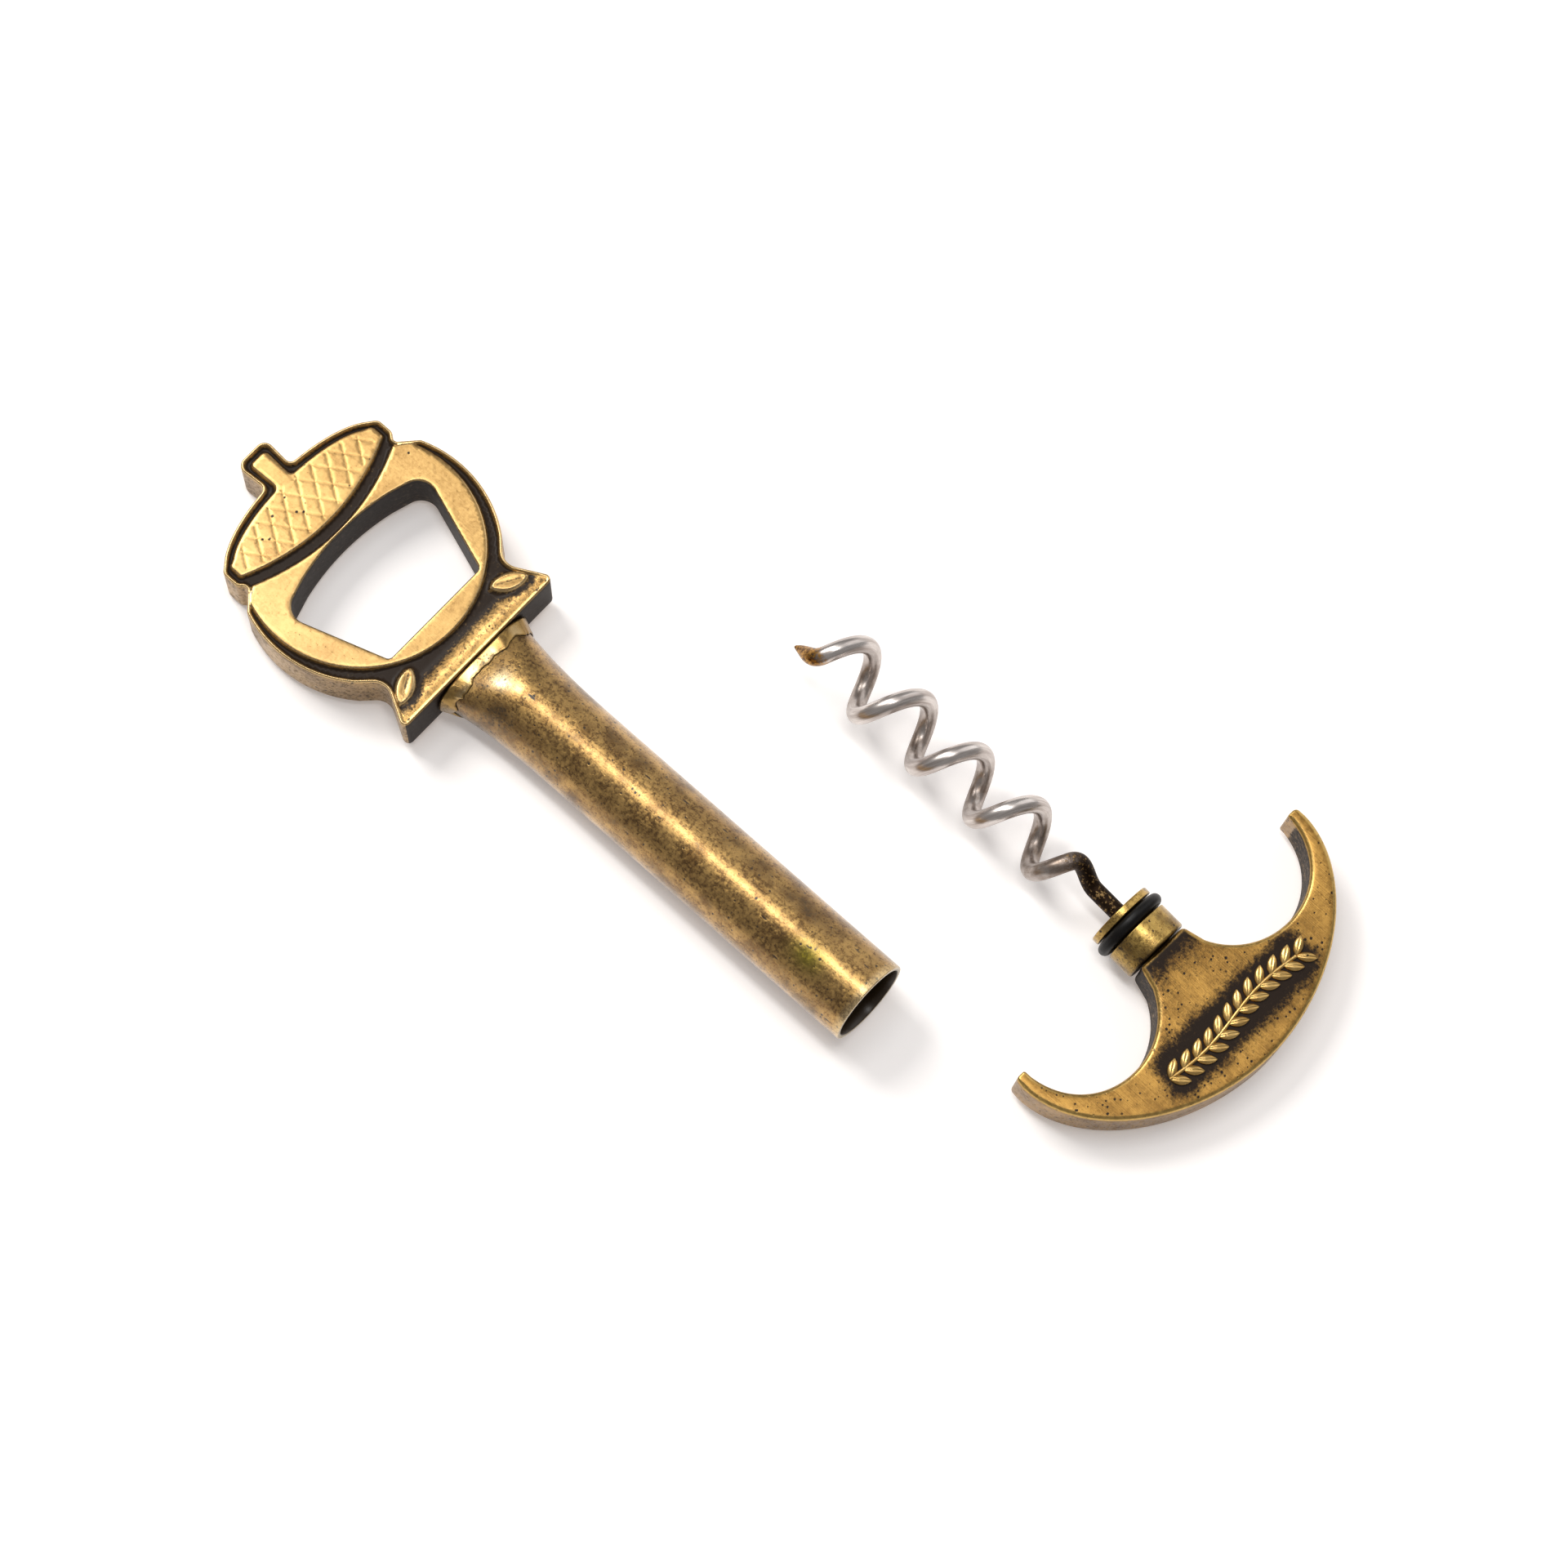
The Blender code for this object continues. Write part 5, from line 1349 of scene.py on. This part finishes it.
def handle_wall(p, z, is_hole):
    """The arcs for the fingers keep their skin, the outer side is polished by handling."""
    from_finger = math.hypot(p.x - FINGER_X, abs(p.y) - FINGER_Y) - FINGER_RADIUS
    in_arc = from_finger < NEAR and p.x > HORN_X + DARK_MARGIN
    at_neck = abs(p.y) < NECK_HALF + DARK_MARGIN and p.x < FINGER_X + DARK_MARGIN
    at_plug = p.x < rear + GAP + PLUG_MARGIN and abs(p.y) < NECK_HALF + MM
    return 0.0, NECK_END_PATINA if at_plug else HIDDEN_PATINA if in_arc or at_neck else HANDLED_PATINA


handle_mesh = casting("cast_handle", handle_outline, [], HANDLE_THICK, handle_edge, None, [], handle_relief,
                      HANDLE_STEP, handle_wall)
handle = placed(handle_mesh, CORKSCREW)
handle.data.materials.append(handle_brass)
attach(handle, "corkscrew")
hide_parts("handle")
print(handle.name, len(handle.data.polygons), "faces")

# %% [markdown]
# ## The laurel sprig
# The handle carries a raised ornament on its blackened patch. It is a generic laurel sprig: a stem
# with pairs of small leaves, cast with the handle and polished. Leaves that repeat along a stem are
# work for Geometry Nodes: the tree shapes one leaf, and sets it down along the stem on both sides.

# %% The sprig's tree
SPRIG_HALF, SPRIG_HEIGHT, SPRIG_ROOT, LEAF_TURN = 14.6 * MM, 0.55 * MM, 0.2 * MM, math.radians(40.0)
TIP_NARROWING, RIB_HALF_SHARE, RIB_DROP_SHARE, STEM_SIDES = 0.35, 0.14, 0.22, 12


def laurel():
    """A tree that shapes one leaf, sets pairs of it along a stem, and makes the stem round."""
    tree, given = node_group("laurel", {"Leaf length": 'Float', "Leaf width": 'Float',
                                        "Leaf height": 'Float', "Pairs": 'Int', "Stem": 'Float',
                                        "Finish": 'Material'})

    ball = add(tree, 'GeometryNodeMeshIcoSphere', {"Radius": 1.0, "Subdivisions": 4}, 0)
    x, y, z = add(tree, 'ShaderNodeSeparateXYZ', {0: add(tree, 'GeometryNodeInputPosition', out=0)})
    from_tip = add(tree, SUM, (x, x), 0, operation='MULTIPLY')
    from_tip = add(tree, SUM, (1.0, from_tip), 0, operation='SUBTRACT', use_clamp=True)
    narrow = add(tree, SUM, (from_tip, TIP_NARROWING), 0, operation='POWER')
    on_rib = add(tree, SUM, (y, 0.0, RIB_HALF_SHARE), 0, operation='COMPARE')
    ribbed = add(tree, SUM, (on_rib, -RIB_DROP_SHARE, z), 0, operation='MULTIPLY_ADD')
    half = add(tree, SUM, (given["Leaf length"], 0.5), 0, operation='MULTIPLY')
    long = add(tree, SUM, (x, half, half), 0, operation='MULTIPLY_ADD')
    half = add(tree, SUM, (given["Leaf width"], 0.5), 0, operation='MULTIPLY')
    wide = add(tree, SUM, (y, narrow), 0, operation='MULTIPLY')
    wide = add(tree, SUM, (wide, half), 0, operation='MULTIPLY')
    high = add(tree, SUM, (ribbed, given["Leaf height"]), 0, operation='MULTIPLY')
    high = add(tree, SUM, (high, -SPRIG_ROOT), 0, operation='MAXIMUM')
    moved = add(tree, 'ShaderNodeCombineXYZ', (long, wide, high), 0)
    leaf = add(tree, 'GeometryNodeSetPosition', {0: ball, "Position": moved}, 0)

    line = add(tree, 'GeometryNodeMeshToCurve', {0: given["Geometry"]}, 0)
    parts = []
    for side in (1, -1):
        spots = add(tree, 'GeometryNodeCurveToPoints', {"Curve": line, "Count": given["Pairs"]}, mode='COUNT')
        along = add(tree, 'FunctionNodeAlignRotationToVector', {"Vector": spots["Tangent"]}, 0, axis='X')
        aside = add(tree, 'FunctionNodeRotateRotation', {0: along, 1: (0, 0, side * LEAF_TURN)}, 0,
                    rotation_space='GLOBAL')
        parts.append(add(tree, 'GeometryNodeInstanceOnPoints', {"Points": spots[0], "Instance": leaf,
                                                                "Rotation": aside}, 0))
    circle = add(tree, 'GeometryNodeCurvePrimitiveCircle',
                 {"Resolution": STEM_SIDES, "Radius": given["Stem"]}, 0)
    parts.append(add(tree, 'GeometryNodeCurveToMesh', {"Curve": line, "Profile Curve": circle,
                                                       "Fill Caps": True}, 0))
    joined = add(tree, 'GeometryNodeJoinGeometry', {0: parts}, 0)
    return dressed(tree, joined, given["Finish"])


STEM_WAVE, STEM_SHIFT, STEM_LIFT, STEM_STEPS = 0.7 * MM, 1.0 * MM, 0.12 * MM, 60

polished = antique_brass(
    "polished_relief_brass", "D9B673", "B08A4B", "F0D79C", clouds=3.0, pits=0.03, rough=0.3)
stem_points = [Vector((PATCH_X + STEM_WAVE * math.sin(2 * math.pi * k / STEM_STEPS),
                       PATCH_Y - SPRIG_HALF + 2 * SPRIG_HALF * k / STEM_STEPS - STEM_SHIFT,
                       HANDLE_THICK / 2 + STEM_LIFT)) for k in range(STEM_STEPS + 1)]
sprig = grown(chain("sprig_line", stem_points), laurel(), CORKSCREW, Leaf_length=3.6 * MM,
              Leaf_width=1.7 * MM, Leaf_height=SPRIG_HEIGHT, Pairs=12, Stem=0.34 * MM, Finish=polished)
sprig.name = sprig.data.name = "laurel_sprig"
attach(sprig, "corkscrew")
print(sprig.name, len(sprig.data.polygons), "faces")

# %% [markdown]
# ## Table and light
# The tool was photographed on white. A soft key lamp at the left throws the shadows to the right, a
# narrow strip almost straight above lays one bright band along the tube, and a dim panel and a fill
# behind keep the flat faces and the far sides from going dark. The table gives off a little light of
# its own: it stands for the lit white paper, which the photograph shows as pure white.

# %% Table
TABLE_REACH, TABLE_GLOW = 3.0, 0.22                     # metres, strength
bm = bmesh.new()
bmesh.ops.create_grid(bm, x_segments=1, y_segments=1, size=TABLE_REACH)
table_mesh = bpy.data.meshes.new("white_table")
bm.to_mesh(table_mesh)
bm.free()
table = bpy.data.objects.new("white_table", table_mesh)
scene.collection.objects.link(table)
paper, _, paper_shader = new_material("matt_white_paper")
paper_shader["Base Color"].default_value = linear("F3F0EE")
paper_shader["Roughness"].default_value = 0.9
paper_shader["Specular IOR Level"].default_value = 0.2
paper_shader["Emission Color"].default_value = linear("FFF9F7")
paper_shader["Emission Strength"].default_value = TABLE_GLOW
table_mesh.materials.append(paper)
print("table laid")

# %% Lights
ROOM_LIGHT = 0.35
world = bpy.data.worlds.new("room")
scene.world = world
world.use_nodes = True
world.node_tree.nodes["Background"].inputs[0].default_value = linear("F5F3F3")
world.node_tree.nodes["Background"].inputs[1].default_value = ROOM_LIGHT


def softbox(name, place, size, power, colour="FFFFFF", level=False):
    """A rectangular lamp that faces the tool, or straight down if it is level."""
    lamp = bpy.data.lights.new(name, 'AREA')
    lamp.shape, lamp.size, lamp.size_y = 'RECTANGLE', size[0], size[1]
    lamp.energy, lamp.color = power, linear(colour)[:3]
    item = bpy.data.objects.new(name, lamp)
    item.location = place
    if not level:
        item.rotation_euler = (-Vector(place)).to_track_quat('-Z', 'Y').to_euler()
    scene.collection.objects.link(item)


softbox("key", (-1.15, 0.05, 1.48), (0.65, 0.7), 21.0, "FFFEFC")
softbox("strip", (-0.12, 0.03, 1.75), (0.95, 0.19), 8.9, level=True)
softbox("overhead", (-0.1, 0.5, 1.75), (0.8, 0.6), 1.0, level=True)
softbox("fill", (0.2, 1.5, 1.0), (1.2, 1.8), 7.0)
scene.view_settings.view_transform = 'Standard'
